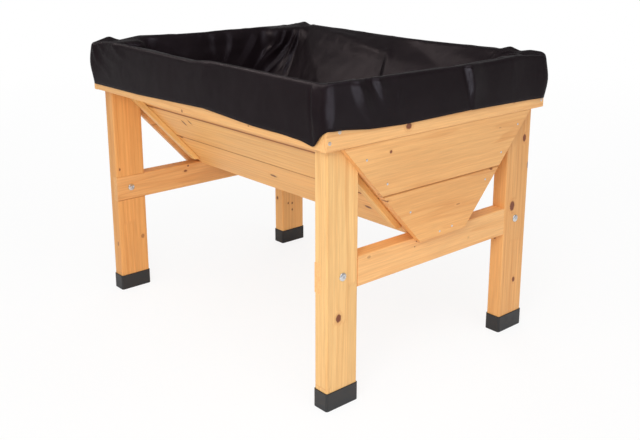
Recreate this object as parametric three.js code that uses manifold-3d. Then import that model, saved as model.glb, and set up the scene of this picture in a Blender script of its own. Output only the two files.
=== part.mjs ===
// Raised planter on legs: a V-shaped trough of tongue-and-groove boards between two trestle ends,
// a rim of four rails, plastic foot caps and a loose fabric liner folded over the rim.
// Millimetres, +Z up. X runs along the trough, the front is the -Y side, the floor is Z = 0.
import * as THREE from 'three';
import { mergeVertices } from 'three/addons/utils/BufferGeometryUtils.js';
import Module from 'manifold-3d';

const wasm = await Module();
wasm.setup();

// Overall size over the wooden rim
const LENGTH = 1020;
const WIDTH = 760;
const HEIGHT = 750;
const FIT = 0.3; // gap between pieces that seat on each other

// Rim rails
const RAIL_THICK = 20;
const RAIL_HEIGHT = 133;
const RAIL_ARRIS = 3;

// Legs and their foot caps
const LEG_THICK = 42; // along X
const LEG_WIDTH = 93; // along Y
const LEG_ARRIS = 4;
const LEG_BELOW_RIM = 6;
const CAP_WALL = 2.2;
const CAP_BASE = 3;
const CAP_HEIGHT = 45;
const CAP_BEVEL = 1.2;

// Cross rails, half-lapped over the inner side of the legs
const CROSS_HEIGHT = 73;
const CROSS_ARRIS = 3;
const LAP_DEPTH = 21;
const PANEL_LAP = 5; // how far the end panel hangs down over the cross rail

// Trough
const FLARE = THREE.MathUtils.degToRad(43); // lean of the sides from upright
const TROUGH_DEPTH = 400; // from the rim's top down to the lower edge of the boards
const BOTTOM_WIDTH = 160; // end panel at its lower edge
const STRUT_WIDTH = 42; // across the slope, inwards from the plane of the side boards' outer face
const STRUT_ARRIS = 3;
const BATTEN_WIDTH = 24; // along X
const BATTEN_THICK = 15;
const BATTEN_ARRIS = 2;
const BATTEN_RISE = 22; // from the lower edge of the boards up to the battens' lower end
const FLOOR_WIDTH = 104;
const FLOOR_THICK = 18;
const DRAIN_RADIUS = 7;
const DRAIN_PITCH = 110;

// Tongue-and-groove boards
const BOARD_THICK = 18;
const SIDE_COVER = 144; // visible width of a side board
const SIDE_LOWEST = 150; // the same of the lowest one
const END_COVER = 136; // visible width of an end board
const TONGUE_LENGTH = 6;
const TONGUE_THICK = 6;
const GROOVE_SPARE = 2; // how much deeper the groove is than the tongue
const V_CHAMFER = 2.5;

// Fabric liner
const LINER_THICK = 2;
const LINER_EASE = 0.6; // gap between the liner and the wood
const LINER_DROP = 110; // from the rim's top down to the skirt's lower edge

// Cross rail bolts with cap nuts
const BOLT_RADIUS = 4;
const BOLT_SHORT = 4; // how far the bolt's end stays inside the leg's inner face
const HEAD_RADIUS = 10;
const HEAD_DOME = 4;
const HEAD_EDGE = 0.8;
const SLEEVE_RADIUS = 6;
const SLEEVE_LENGTH = 15;
const KEY_RADIUS = 3;
const KEY_DEPTH = 2.6;
const ROUND_FACETS = 32;

// Faces and heights that several pieces share
const RAIL_INNER_X = LENGTH / 2 - RAIL_THICK;
const RAIL_INNER_Y = WIDTH / 2 - RAIL_THICK;
const RIM_BOTTOM = HEIGHT - RAIL_HEIGHT;
const TROUGH_BOTTOM = HEIGHT - TROUGH_DEPTH;
const LEG_OUTER_X = RAIL_INNER_X - FIT;
const LEG_OUTER_Y = RAIL_INNER_Y - FIT;
const LEG_INNER_X = LEG_OUTER_X - LEG_THICK;
const LEG_INNER_Y = LEG_OUTER_Y - LEG_WIDTH;
const LEG_CENTRE_X = (LEG_OUTER_X + LEG_INNER_X) / 2;
const LEG_CENTRE_Y = (LEG_OUTER_Y + LEG_INNER_Y) / 2;
const LEG_TOP = HEIGHT - LEG_BELOW_RIM;
const CROSS_TOP = TROUGH_BOTTOM + PANEL_LAP;
const CROSS_BOTTOM = CROSS_TOP - CROSS_HEIGHT;
const CROSS_CENTRE = (CROSS_TOP + CROSS_BOTTOM) / 2;
const LAP_X = LEG_INNER_X + LAP_DEPTH; // where leg and cross rail meet in the lap
const TROUGH_END_X = LEG_INNER_X - FIT; // side boards and battens end here
const BATTEN_INNER_X = TROUGH_END_X - BATTEN_WIDTH;

const wood = (color) => new THREE.MeshStandardMaterial({ color, roughness: 0.55, metalness: 0 });
const legWood = wood(0xe9ad6b);
const boardWood = wood(0xe6ac6e);
const railWood = wood(0xedb473);
const plastic = new THREE.MeshStandardMaterial({ color: 0x2a2b2d, roughness: 0.6, metalness: 0 });
const fabric = new THREE.MeshStandardMaterial({ color: 0x1c1b1d, roughness: 0.85, metalness: 0 });
const zinc = new THREE.MeshStandardMaterial({ color: 0xc3c6c9, roughness: 0.35, metalness: 0.9 });

// ---- Solids ----------------------------------------------------------------------------------

// A closed solid for cutting and joining, from any closed geometry.
function solid(geometry) {
  const bare = new THREE.BufferGeometry();
  bare.setAttribute('position', geometry.getAttribute('position').clone());
  if (geometry.index) bare.setIndex(geometry.index.clone());
  const welded = mergeVertices(bare, 1e-4);
  const triangles = [];
  for (let i = 0; i < welded.index.count; i += 3) {
    const [a, b, c] = [0, 1, 2].map((k) => welded.index.getX(i + k));
    if (a !== b && b !== c && c !== a) triangles.push(a, b, c);
  }
  return new wasm.Manifold(new wasm.Mesh({
    numProp: 3,
    vertProperties: new Float32Array(welded.getAttribute('position').array),
    triVerts: new Uint32Array(triangles),
  }));
}

function geometryOf(body) {
  const mesh = body.getMesh();
  const geometry = new THREE.BufferGeometry();
  geometry.setAttribute('position', new THREE.BufferAttribute(new Float32Array(mesh.vertProperties), 3));
  geometry.setIndex(new THREE.BufferAttribute(new Uint32Array(mesh.triVerts), 1));
  const flat = geometry.toNonIndexed();
  flat.computeVertexNormals();
  return flat;
}

const cut = (body, tools) => tools.reduce((rest, tool) => rest.subtract(solid(tool)), body);

function piece(name, geometry, material) {
  const mesh = new THREE.Mesh(geometry, material);
  mesh.name = name;
  return mesh;
}

// ---- Sections and prisms ---------------------------------------------------------------------

const outline = (points) => new THREE.Shape(points.map(([x, y]) => new THREE.Vector2(x, y)));

// Rectangle centred on the origin with rounded corners.
function roundedRectangle(width, height, radius) {
  const [x, y] = [width / 2 - radius, height / 2 - radius];
  const shape = new THREE.Shape();
  shape.absarc(x, -y, radius, -Math.PI / 2, 0, false);
  shape.absarc(x, y, radius, 0, Math.PI / 2, false);
  shape.absarc(-x, y, radius, Math.PI / 2, Math.PI, false);
  shape.absarc(-x, -y, radius, Math.PI, Math.PI * 1.5, false);
  return shape;
}

// Prism of an X-Y outline between two heights.
function prismAlongZ(shape, from, to) {
  const options = { depth: to - from, bevelEnabled: false, curveSegments: 4 };
  return new THREE.ExtrudeGeometry(shape, options).translate(0, 0, from);
}

const AXIS_X = new THREE.Vector3(1, 0, 0);
const AXIS_Y = new THREE.Vector3(0, 1, 0);
const AXIS_Z = new THREE.Vector3(0, 0, 1);
const Z_TO_X = new THREE.Matrix4().makeBasis(AXIS_Y, AXIS_Z, AXIS_X);
const Z_TO_Y = new THREE.Matrix4().makeBasis(AXIS_Z, AXIS_X, AXIS_Y);

// Prism of a Y-Z outline between two X planes, and of a Z-X outline between two Y planes.
const prismAlongX = (shape, from, to) => prismAlongZ(shape, from, to).applyMatrix4(Z_TO_X);
const prismAlongY = (shape, from, to) => prismAlongZ(shape, from, to).applyMatrix4(Z_TO_Y);

// Box from opposite corners, given as ranges that may run either way.
function block([x0, x1], [y0, y1], [z0, z1]) {
  const box = new THREE.BoxGeometry(Math.abs(x1 - x0), Math.abs(y1 - y0), Math.abs(z1 - z0));
  return box.translate((x0 + x1) / 2, (y0 + y1) / 2, (z0 + z1) / 2);
}

// Solid of revolution whose axis runs along +X. Profile points are [radius, x], with x rising.
function turned(profile, facets) {
  const points = profile.map(([radius, along]) => new THREE.Vector2(radius, along));
  return new THREE.LatheGeometry(points, facets).rotateZ(-Math.PI / 2);
}

const FAR = 2 * Math.max(LENGTH, WIDTH, HEIGHT); // beyond the part on every side

// ---- The slope of the trough's sides ---------------------------------------------------------
// A point is given by how far it lies up the slope from the end panel's lower corner and how far
// out from the panel's slanted edge. Side is 1 for the +Y side and -1 for the -Y side.

function slopePoint(side, up, out) {
  const y = BOTTOM_WIDTH / 2 + up * Math.sin(FLARE) + out * Math.cos(FLARE);
  return [side * y, TROUGH_BOTTOM + up * Math.cos(FLARE) - out * Math.sin(FLARE)];
}

// How far up the slope a plane at that depth reaches a given half width, or a given height.
const upAtWidth = (y, out) => (y - BOTTOM_WIDTH / 2 - out * Math.cos(FLARE)) / Math.sin(FLARE);
const upAtHeight = (z, out) => (z - TROUGH_BOTTOM + out * Math.sin(FLARE)) / Math.cos(FLARE);

const halfWidthAt = (z, out) => slopePoint(1, upAtHeight(z, out), out)[0];
const heightAt = (y, out) => slopePoint(1, upAtWidth(y, out), out)[1];

// Bar lying along the slope, with its outer face that far out from the panel's slanted edge.
function slopedBar(side, centreX, width, thick, arris, out) {
  return prismAlongZ(roundedRectangle(width, thick, arris), -FAR / 2, FAR / 2)
    .translate(centreX, side * (out - thick / 2), 0)
    .rotateX(-side * FLARE)
    .translate(0, side * BOTTOM_WIDTH / 2, TROUGH_BOTTOM);
}

const BOARD_OUT = -BATTEN_THICK - FIT; // outer face of the side boards
const BOARD_IN = BOARD_OUT - BOARD_THICK; // inner face of the side boards
const FLOOR_BOTTOM = heightAt(FLOOR_WIDTH / 2, BOARD_IN - FIT);

// ---- Bolts -----------------------------------------------------------------------------------

// Points of a domed head, from its rim to its crown, as [radius, x].
function dome() {
  const steps = [0, 1, 2, 3, 4];
  return steps.map((step) => {
    const angle = (step / 4) * (Math.PI / 2);
    return [HEAD_RADIUS * Math.cos(angle), HEAD_EDGE + (HEAD_DOME - HEAD_EDGE) * Math.sin(angle)];
  });
}

// Hexagonal recess for the key, along X.
function keyRecess(from, to) {
  const corners = [0, 1, 2, 3, 4, 5].map((i) => (i * Math.PI) / 3);
  const hexagon = outline(corners.map((a) => [KEY_RADIUS * Math.cos(a), KEY_RADIUS * Math.sin(a)]));
  return prismAlongX(hexagon, from, to);
}

// Bolt whose head stands on the plane X = 0 and whose shank runs inwards along -X.
function bolt() {
  const shank = LEG_THICK - BOLT_SHORT;
  const crown = dome().slice(0, -1).map(([radius, x]) => [radius, x + FIT]);
  const profile = [[0, -shank], [BOLT_RADIUS, -shank], [BOLT_RADIUS, FIT], [HEAD_RADIUS, FIT]];
  const body = solid(turned([...profile, ...crown, [0, HEAD_DOME + FIT]], ROUND_FACETS));
  return geometryOf(cut(body, [keyRecess(HEAD_DOME + FIT - KEY_DEPTH, FAR)]));
}

// Cap nut whose head stands on the plane X = 0 on the -X side, with a sleeve round the bolt's end.
function capNut() {
  const crown = dome().slice(0, -1).map(([radius, x]) => [radius, -x - FIT]).reverse();
  const sleeve = [[HEAD_RADIUS, -FIT], [SLEEVE_RADIUS, -FIT], [SLEEVE_RADIUS, SLEEVE_LENGTH]];
  const bore = [[BOLT_RADIUS + FIT, SLEEVE_LENGTH], [BOLT_RADIUS + FIT, 0], [0, 0]];
  const body = solid(turned([[0, -HEAD_DOME - FIT], ...crown, ...sleeve, ...bore], ROUND_FACETS));
  return geometryOf(cut(body, [keyRecess(-FAR, KEY_DEPTH - HEAD_DOME - FIT)]));
}

// Hole for the bolt and the cap nut's sleeve, through the leg and the cross rail.
function boltHole(side) {
  const [sleeve, shank] = [SLEEVE_RADIUS + FIT, BOLT_RADIUS + FIT];
  const step = SLEEVE_LENGTH + FIT;
  const profile = [[0, -1], [sleeve, -1], [sleeve, step], [shank, step], [shank, LEG_THICK + 1]];
  const hole = turned([...profile, [0, LEG_THICK + 1]], ROUND_FACETS);
  return hole.translate(LEG_INNER_X, side * LEG_CENTRE_Y, CROSS_CENTRE);
}

// ---- End frame, drawn for the +X end ---------------------------------------------------------

function leg(side) {
  const section = roundedRectangle(LEG_THICK, LEG_WIDTH, LEG_ARRIS);
  const post = prismAlongZ(section, CAP_BASE + FIT, LEG_TOP);
  post.translate(LEG_CENTRE_X, side * LEG_CENTRE_Y, 0);
  const housing = block([0, LAP_X], [0, side * FAR], [CROSS_BOTTOM - FIT, CROSS_TOP + FIT]);
  return geometryOf(cut(solid(post), [housing, boltHole(side)]));
}

// Open box pushed over the foot of a leg.
function footCap(side) {
  const grown = 2 * (CAP_WALL + FIT);
  const shell = roundedRectangle(LEG_THICK + grown, LEG_WIDTH + grown, LEG_ARRIS + grown / 2);
  const body = new THREE.ExtrudeGeometry(shell, {
    depth: CAP_HEIGHT - 2 * CAP_BEVEL,
    bevelThickness: CAP_BEVEL,
    bevelSize: CAP_BEVEL,
    bevelOffset: -CAP_BEVEL,
    bevelSegments: 2,
    curveSegments: 4,
  }).translate(0, 0, CAP_BEVEL);
  const socket = roundedRectangle(LEG_THICK + 2 * FIT, LEG_WIDTH + 2 * FIT, LEG_ARRIS + FIT);
  const cap = cut(solid(body), [prismAlongZ(socket, CAP_BASE, FAR)]);
  return geometryOf(cap).translate(LEG_CENTRE_X, side * LEG_CENTRE_Y, 0);
}

// Full thickness between the legs; its inner half runs on through both legs' housings.
function crossRail() {
  const section = roundedRectangle(CROSS_HEIGHT, LEG_THICK, CROSS_ARRIS);
  const rail = prismAlongY(section, -LEG_OUTER_Y, LEG_OUTER_Y);
  rail.translate(LEG_CENTRE_X, 0, CROSS_CENTRE);
  const ends = [-1, 1].flatMap((side) => [
    block([LAP_X - FIT, FAR], [side * (LEG_INNER_Y - FIT), side * FAR], [0, FAR]),
    boltHole(side),
  ]);
  return geometryOf(cut(solid(rail), ends));
}

// Strut between cross rail and leg, behind the end panel and flush with the side boards' outer face.
function strut(side) {
  const bar = slopedBar(side, LEG_CENTRE_X, LEG_THICK, STRUT_WIDTH, STRUT_ARRIS, BOARD_OUT);
  return geometryOf(cut(solid(bar), [
    block([-FAR, FAR], [-FAR, FAR], [-FAR, CROSS_TOP + FIT]),
    block([-FAR, FAR], [side * (LEG_INNER_Y - FIT), side * FAR], [-FAR, FAR]),
  ]));
}

// Batten on the outer face of the side boards: cut level below and upright at the rim rail.
function batten(side) {
  const centre = BATTEN_INNER_X + BATTEN_WIDTH / 2;
  const bar = slopedBar(side, centre, BATTEN_WIDTH, BATTEN_THICK, BATTEN_ARRIS, 0);
  return geometryOf(cut(solid(bar), [
    block([-FAR, FAR], [-FAR, FAR], [-FAR, TROUGH_BOTTOM + BATTEN_RISE]),
    block([-FAR, FAR], [side * (RAIL_INNER_Y - FIT), side * FAR], [-FAR, FAR]),
  ]));
}

// ---- Tongue-and-groove boards ----------------------------------------------------------------

// Section of a board as [across, depth]: the groove at its start, the tongue at its finish, and a
// chamfer beside each on the outer face, at depth 0. A free edge is cut square.
function boardSection(start, finish, freeStart, freeFinish) {
  const middle = -BOARD_THICK / 2;
  const groove = TONGUE_THICK / 2 + FIT;
  const tongue = TONGUE_THICK / 2;
  const points = [];
  if (freeStart) {
    points.push([start, 0], [start, -BOARD_THICK]);
  } else {
    const edge = start + FIT / 2;
    const floor = edge + TONGUE_LENGTH + GROOVE_SPARE;
    points.push([edge + V_CHAMFER, 0], [edge, -V_CHAMFER], [edge, middle + groove]);
    points.push([floor, middle + groove], [floor, middle - groove]);
    points.push([edge, middle - groove], [edge, -BOARD_THICK]);
  }
  if (freeFinish) {
    points.push([finish, -BOARD_THICK], [finish, 0]);
  } else {
    const edge = finish - FIT / 2;
    points.push([edge, -BOARD_THICK], [edge, middle - tongue]);
    points.push([edge + TONGUE_LENGTH, middle - tongue], [edge + TONGUE_LENGTH, middle + tongue]);
    points.push([edge, middle + tongue], [edge, -V_CHAMFER], [edge - V_CHAMFER, 0]);
  }
  return points;
}

// Board edges from the first to the last: the lowest board, then one cover width after another.
// The last board is ripped to fit, or left wider where only a sliver would follow it.
function boardEdges(first, last, lowest, cover) {
  const edges = [first];
  for (let edge = first + lowest; edge < last - 2 * TONGUE_LENGTH; edge += cover) edges.push(edge);
  return [...edges, last];
}

// End panel at the +X end, lowest board first: lies on the outer faces of the frame.
function endBoards() {
  const face = RAIL_INNER_X + BOARD_THICK;
  const top = RIM_BOTTOM - FIT;
  const edges = boardEdges(TROUGH_BOTTOM, top, END_COVER, END_COVER);
  const [low, high] = [halfWidthAt(TROUGH_BOTTOM, 0), halfWidthAt(top, 0)];
  const panel = outline([[-low, TROUGH_BOTTOM], [low, TROUGH_BOTTOM], [high, top], [-high, top]]);
  const shape = solid(prismAlongX(panel, 0, FAR));
  return edges.slice(1).map((finish, i) => {
    const section = boardSection(edges[i], finish, i === 0, finish === top);
    const board = prismAlongY(outline(section.map(([z, x]) => [z, face + x])), -FAR / 2, FAR / 2);
    return geometryOf(solid(board).intersect(shape));
  });
}

// Boards of the +Y side, lowest first: between the end frames, inside the battens.
function sideBoards() {
  const first = upAtHeight(TROUGH_BOTTOM, BOARD_OUT);
  const last = upAtWidth(RAIL_INNER_Y - FIT, BOARD_OUT);
  const edges = boardEdges(first, last, SIDE_LOWEST, SIDE_COVER);
  return edges.slice(1).map((finish, i) => {
    const section = boardSection(edges[i], finish, i === 0, finish === last);
    const points = section.map(([up, out]) => slopePoint(1, up, BOARD_OUT + out));
    return geometryOf(solid(prismAlongX(outline(points), -TROUGH_END_X, TROUGH_END_X)));
  });
}

// Board wedged between the sides at the bottom of the trough, with a row of drain holes.
function floorBoard() {
  const [bottom, top] = [FLOOR_BOTTOM, FLOOR_BOTTOM + FLOOR_THICK];
  const [low, high] = [FLOOR_WIDTH / 2, halfWidthAt(top, BOARD_IN - FIT)];
  const board = outline([[-low, bottom], [low, bottom], [high, top], [-high, top]]);
  const gaps = Math.floor((2 * TROUGH_END_X) / DRAIN_PITCH) - 1;
  const drains = Array.from({ length: gaps + 1 }, (_, i) => {
    const drain = new THREE.CylinderGeometry(DRAIN_RADIUS, DRAIN_RADIUS, FAR, 16);
    return drain.rotateX(Math.PI / 2).translate((i - gaps / 2) * DRAIN_PITCH, 0, 0);
  });
  return geometryOf(cut(solid(prismAlongX(board, -TROUGH_END_X, TROUGH_END_X)), drains));
}

// ---- Rim -------------------------------------------------------------------------------------

// Rail across the +X end: it covers the ends of the long rails.
function endRail() {
  const section = roundedRectangle(RAIL_HEIGHT, RAIL_THICK, RAIL_ARRIS);
  const rail = prismAlongY(section, -WIDTH / 2, WIDTH / 2);
  rail.translate(RAIL_INNER_X + RAIL_THICK / 2, 0, RIM_BOTTOM + RAIL_HEIGHT / 2);
  return geometryOf(solid(rail));
}

// Rail along the +Y side.
function longRail() {
  const section = roundedRectangle(RAIL_THICK, RAIL_HEIGHT, RAIL_ARRIS);
  const rail = prismAlongX(section, FIT - RAIL_INNER_X, RAIL_INNER_X - FIT);
  rail.translate(0, RAIL_INNER_Y + RAIL_THICK / 2, RIM_BOTTOM + RAIL_HEIGHT / 2);
  return geometryOf(solid(rail));
}

// Section of the liner's pocket as a Y-Z outline, `inset` inside its outer face.
function pocketOutline(inset, top) {
  const out = BOARD_IN - LINER_EASE - inset;
  const bottom = FLOOR_BOTTOM + FLOOR_THICK + LINER_EASE + inset;
  const side = RAIL_INNER_Y - LINER_EASE - inset;
  const [low, shoulder] = [halfWidthAt(bottom, out), heightAt(side, out)];
  const right = [[low, bottom], [side, shoulder], [side, top]];
  return outline([...right, ...right.map(([y, z]) => [-y, z]).reverse()]);
}

// Fabric liner: a pocket in the trough, a flat turn over the rim and a skirt hanging outside.
function liner() {
  const [x, y, z] = [LENGTH / 2 + LINER_EASE, WIDTH / 2 + LINER_EASE, HEIGHT + LINER_EASE];
  const [outerX, outerY, top] = [x + LINER_THICK, y + LINER_THICK, z + LINER_THICK];
  const pocket = LEG_INNER_X - LINER_EASE;
  const inside = pocket - LINER_THICK;
  const skirt = block([-outerX, outerX], [-outerY, outerY], [HEIGHT - LINER_DROP, top]);
  const over = cut(solid(skirt), [block([-x, x], [-y, y], [0, z])]);
  const bag = over.add(solid(prismAlongX(pocketOutline(0, top), -pocket, pocket)));
  return geometryOf(cut(bag, [prismAlongX(pocketOutline(LINER_THICK, FAR), -inside, inside)]));
}

// ---- Assembly --------------------------------------------------------------------------------

const planter = new THREE.Group();
const HALF_TURN = Math.PI;

// The two ends are the same frame, turned half round; its +Y side is at the back on the right.
const ENDS = [['right', 0, ['back', 'front']], ['left', HALF_TURN, ['front', 'back']]];
for (const [end, turn, sides] of ENDS) {
  const frame = new THREE.Group();
  frame.rotation.z = turn;
  sides.forEach((place, i) => {
    const side = i === 0 ? 1 : -1;
    frame.add(piece(`${place}_${end}_leg`, leg(side), legWood));
    frame.add(piece(`${place}_${end}_foot_cap`, footCap(side), plastic));
    frame.add(piece(`${place}_${end}_strut`, strut(side), legWood));
    frame.add(piece(`${place}_${end}_batten`, batten(side), boardWood));
    const fasteners = new THREE.Group();
    fasteners.position.set(LEG_INNER_X, side * LEG_CENTRE_Y, CROSS_CENTRE);
    const head = piece(`${place}_${end}_bolt`, bolt(), zinc);
    head.position.x = LEG_THICK;
    fasteners.add(head, piece(`${place}_${end}_cap_nut`, capNut(), zinc));
    frame.add(fasteners);
  });
  frame.add(piece(`${end}_cross_rail`, crossRail(), legWood));
  frame.add(piece(`${end}_rim_rail`, endRail(), railWood));
  endBoards().forEach((board, i) => frame.add(piece(`${end}_end_board_${i + 1}`, board, boardWood)));
  planter.add(frame);
}

for (const [place, turn] of [['back', 0], ['front', HALF_TURN]]) {
  const wall = new THREE.Group();
  wall.rotation.z = turn;
  sideBoards().forEach((board, i) => wall.add(piece(`${place}_side_board_${i + 1}`, board, boardWood)));
  wall.add(piece(`${place}_rim_rail`, longRail(), railWood));
  planter.add(wall);
}

planter.add(piece('floor_board', floorBoard(), boardWood));
planter.add(piece('liner', liner(), fabric));

export default planter;
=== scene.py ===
import math

import bmesh
import bpy
import numpy as np
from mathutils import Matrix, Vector


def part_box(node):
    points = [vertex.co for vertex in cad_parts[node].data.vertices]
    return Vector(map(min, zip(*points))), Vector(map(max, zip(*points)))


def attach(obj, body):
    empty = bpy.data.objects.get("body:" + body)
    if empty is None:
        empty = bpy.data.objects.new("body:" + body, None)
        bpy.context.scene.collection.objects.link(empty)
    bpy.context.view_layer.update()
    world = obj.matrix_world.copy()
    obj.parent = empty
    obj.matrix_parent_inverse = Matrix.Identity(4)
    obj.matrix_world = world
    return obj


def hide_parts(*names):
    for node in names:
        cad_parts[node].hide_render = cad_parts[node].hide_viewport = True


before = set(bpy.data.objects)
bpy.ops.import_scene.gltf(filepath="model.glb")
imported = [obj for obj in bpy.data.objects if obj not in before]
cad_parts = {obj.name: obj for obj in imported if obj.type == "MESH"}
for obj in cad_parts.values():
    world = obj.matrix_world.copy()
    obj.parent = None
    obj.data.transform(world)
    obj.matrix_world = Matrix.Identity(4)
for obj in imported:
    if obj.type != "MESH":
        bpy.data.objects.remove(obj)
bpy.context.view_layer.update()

bl_info = {
    "name": "Raised Planter on Legs",
    "version": (1, 0, 0),
    "blender": (4, 5, 0),
    "location": "3D View > Sidebar > Planter",
    "description": "Finishes a raised planter: stained softwood, fabric liner, plastic feet and fixings",
    "category": "Object",
}

# ---- Places taken from the frame, in metres ---------------------------------------------------

END_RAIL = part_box("right_rim_rail")
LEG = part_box("back_right_leg")
FLOOR_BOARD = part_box("floor_board")
END_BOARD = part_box("right_end_board_2")
LOW_END_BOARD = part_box("right_end_board_1")

RIM_X = END_RAIL[1].x  # outer face of the end rails
RIM_Y = END_RAIL[1].y  # outer face of the long rails, whose ends the end rails cover
RIM_TOP = END_RAIL[1].z
RIM_BOTTOM = END_RAIL[0].z
LEG_INNER_X = LEG[0].x
LEG_OUTER_X = LEG[1].x
LEG_INNER_Y = LEG[0].y
LEG_OUTER_Y = LEG[1].y
FLOOR_TOP = FLOOR_BOARD[1].z
FLOOR_HALF = FLOOR_BOARD[1].y
TROUGH_BOTTOM = LOW_END_BOARD[0].z
BOARD_THICK = END_BOARD[1].x - END_BOARD[0].x
END_FACE = END_BOARD[1].x  # outer face of the end boards
END_SEAM = END_BOARD[0].z  # height of the joint between the two boards of an end

# Lean of the side boards from upright: the end boards widen with them.
FLARE = math.atan2(END_BOARD[1].y - LOW_END_BOARD[1].y, END_BOARD[1].z - LOW_END_BOARD[1].z)


def slope_width(z):
    """Half width between the inner faces of the side boards at a height."""
    return FLOOR_HALF + (z - FLOOR_TOP) * math.tan(FLARE)


def outer_slope_place(z):
    """How far up the slope a height on the outer face of a side board lies."""
    outer = slope_width(z) + BOARD_THICK / math.cos(FLARE)
    return outer * math.sin(FLARE) + z * math.cos(FLARE)


# ---- Settings ---------------------------------------------------------------------------------


def colour(name, description, default):
    """Setting for a colour."""
    return bpy.props.FloatVectorProperty(
        name=name, description=description, default=default, subtype="COLOR", size=3, min=0.0, max=1.0
    )


def length(name, description, default):
    """Setting for a length in metres."""
    return bpy.props.FloatProperty(
        name=name, description=description, default=default, unit="LENGTH", min=0.0
    )


def share(name, description, default):
    """Setting from 0 to 1."""
    return bpy.props.FloatProperty(
        name=name, description=description, default=default, subtype="FACTOR", min=0.0, max=1.0
    )


def power(name, description, default):
    """Setting for the power of a lamp in watts."""
    return bpy.props.FloatProperty(
        name=name, description=description, default=default, unit="POWER", min=0.0
    )


def angle(name, description, degrees):
    """Setting for an angle, whose default is given in degrees."""
    return bpy.props.FloatProperty(
        name=name, description=description, default=math.radians(degrees), subtype="ANGLE"
    )


class PlanterWoodSettings(bpy.types.PropertyGroup):
    """Colours and figure of the stained softwood."""

    early: colour("Early wood", "Colour of the wide pale part of a growth ring", (0.91, 0.508, 0.200))
    late: colour("Late wood", "Colour of the narrow dark line of a growth ring", (0.72, 0.305, 0.085))
    knot: colour("Knot", "Colour of a live knot", (0.20, 0.055, 0.018))
    seam: colour("Seam", "Colour of the joint between two boards", (0.33, 0.105, 0.026))
    halo: colour("Knot halo", "Colour of the wood round a knot", (0.66, 0.28, 0.085))
    ring: length("Ring width", "Distance between growth rings", 0.0085)
    contrast: share("Ring contrast", "How far the late wood darkens", 0.52)
    roughness: share("Roughness", "Roughness of the stained surface", 0.5)


class PlanterLinerSettings(bpy.types.PropertyGroup):
    """Cut and finish of the fabric liner."""

    cloth: colour("Cloth", "Colour of the fabric", (0.0090, 0.0056, 0.0070))
    thickness: length("Thickness", "Thickness of the fabric", 0.0012)
    gap: length("Gap", "Gap between the skirt and the rails", 0.004)
    drop: length("Drop", "Length of the skirt below the rim", 0.112)
    radius: length("Corner radius", "Rounding of the skirt at the corners", 0.022)
    fold: length("Fold depth", "Depth of the folds in the inside corners", 0.014)
    wrinkle: length("Wrinkle depth", "Depth of the soft wrinkles", 0.0022)
    thread: length("Thread pitch", "Distance between the threads of the weave", 0.0011)
    gloss: share("Gloss", "How strongly the fabric mirrors", 0.06)


class PlanterFixingSettings(bpy.types.PropertyGroup):
    """Screws, nails and the plastic and zinc finishes."""

    screw_radius: length("Screw head", "Radius of a screw head", 0.0042)
    nail_radius: length("Nail head", "Radius of a nail head", 0.0028)
    zinc: colour("Zinc", "Colour of the plated steel", (0.72, 0.73, 0.75))
    plastic: colour("Plastic", "Colour of the foot caps", (0.018, 0.019, 0.021))


class PlanterStageSettings(bpy.types.PropertyGroup):
    """Floor, lamps and camera."""

    floor: colour("Floor", "Colour of the floor", (0.95, 0.95, 0.95))
    lift: share("Floor lift", "How far the floor is lifted to white where it is looked at", 0.85)
    sky: share("Sky light", "Strength of the even light from all round", 0.38)
    shine: share("Sky shine", "Strength of the even light where it is mirrored", 0.35)
    key: power("Key", "Power of the key lamp", 15.0)
    fill: power("Fill", "Power of the fill lamp", 16.0)
    low: power("Low", "Power of the low lamp", 3.0)
    strip: power("Strips", "Power of the lamps that put highlights on the liner", 90.0)
    sun: bpy.props.FloatProperty(name="Sun", description="Strength of the wide high lamp", default=1.45)
    camera_place: bpy.props.FloatVectorProperty(
        name="Camera place", description="Where the camera stands", default=(1.8372, -1.5582, 1.0702),
        subtype="XYZ", unit="LENGTH",
    )
    camera_heading: angle("Camera heading", "Turn from looking along +X", 138.84)
    camera_tilt: angle("Camera tilt", "Tilt below the horizon", 14.473)
    lens: bpy.props.FloatProperty(
        name="Lens", description="Focal length on a 36 mm sensor, in millimetres", default=49.591
    )
    shift: bpy.props.FloatProperty(
        name="Shift", description="Vertical lens shift, in sensor widths", default=-0.1
    )


def settings(name):
    """The scene's settings for wood, liner, fixing or stage."""
    return getattr(bpy.context.scene, "planter_" + name)


# ---- Node helpers -----------------------------------------------------------------------------


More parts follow.
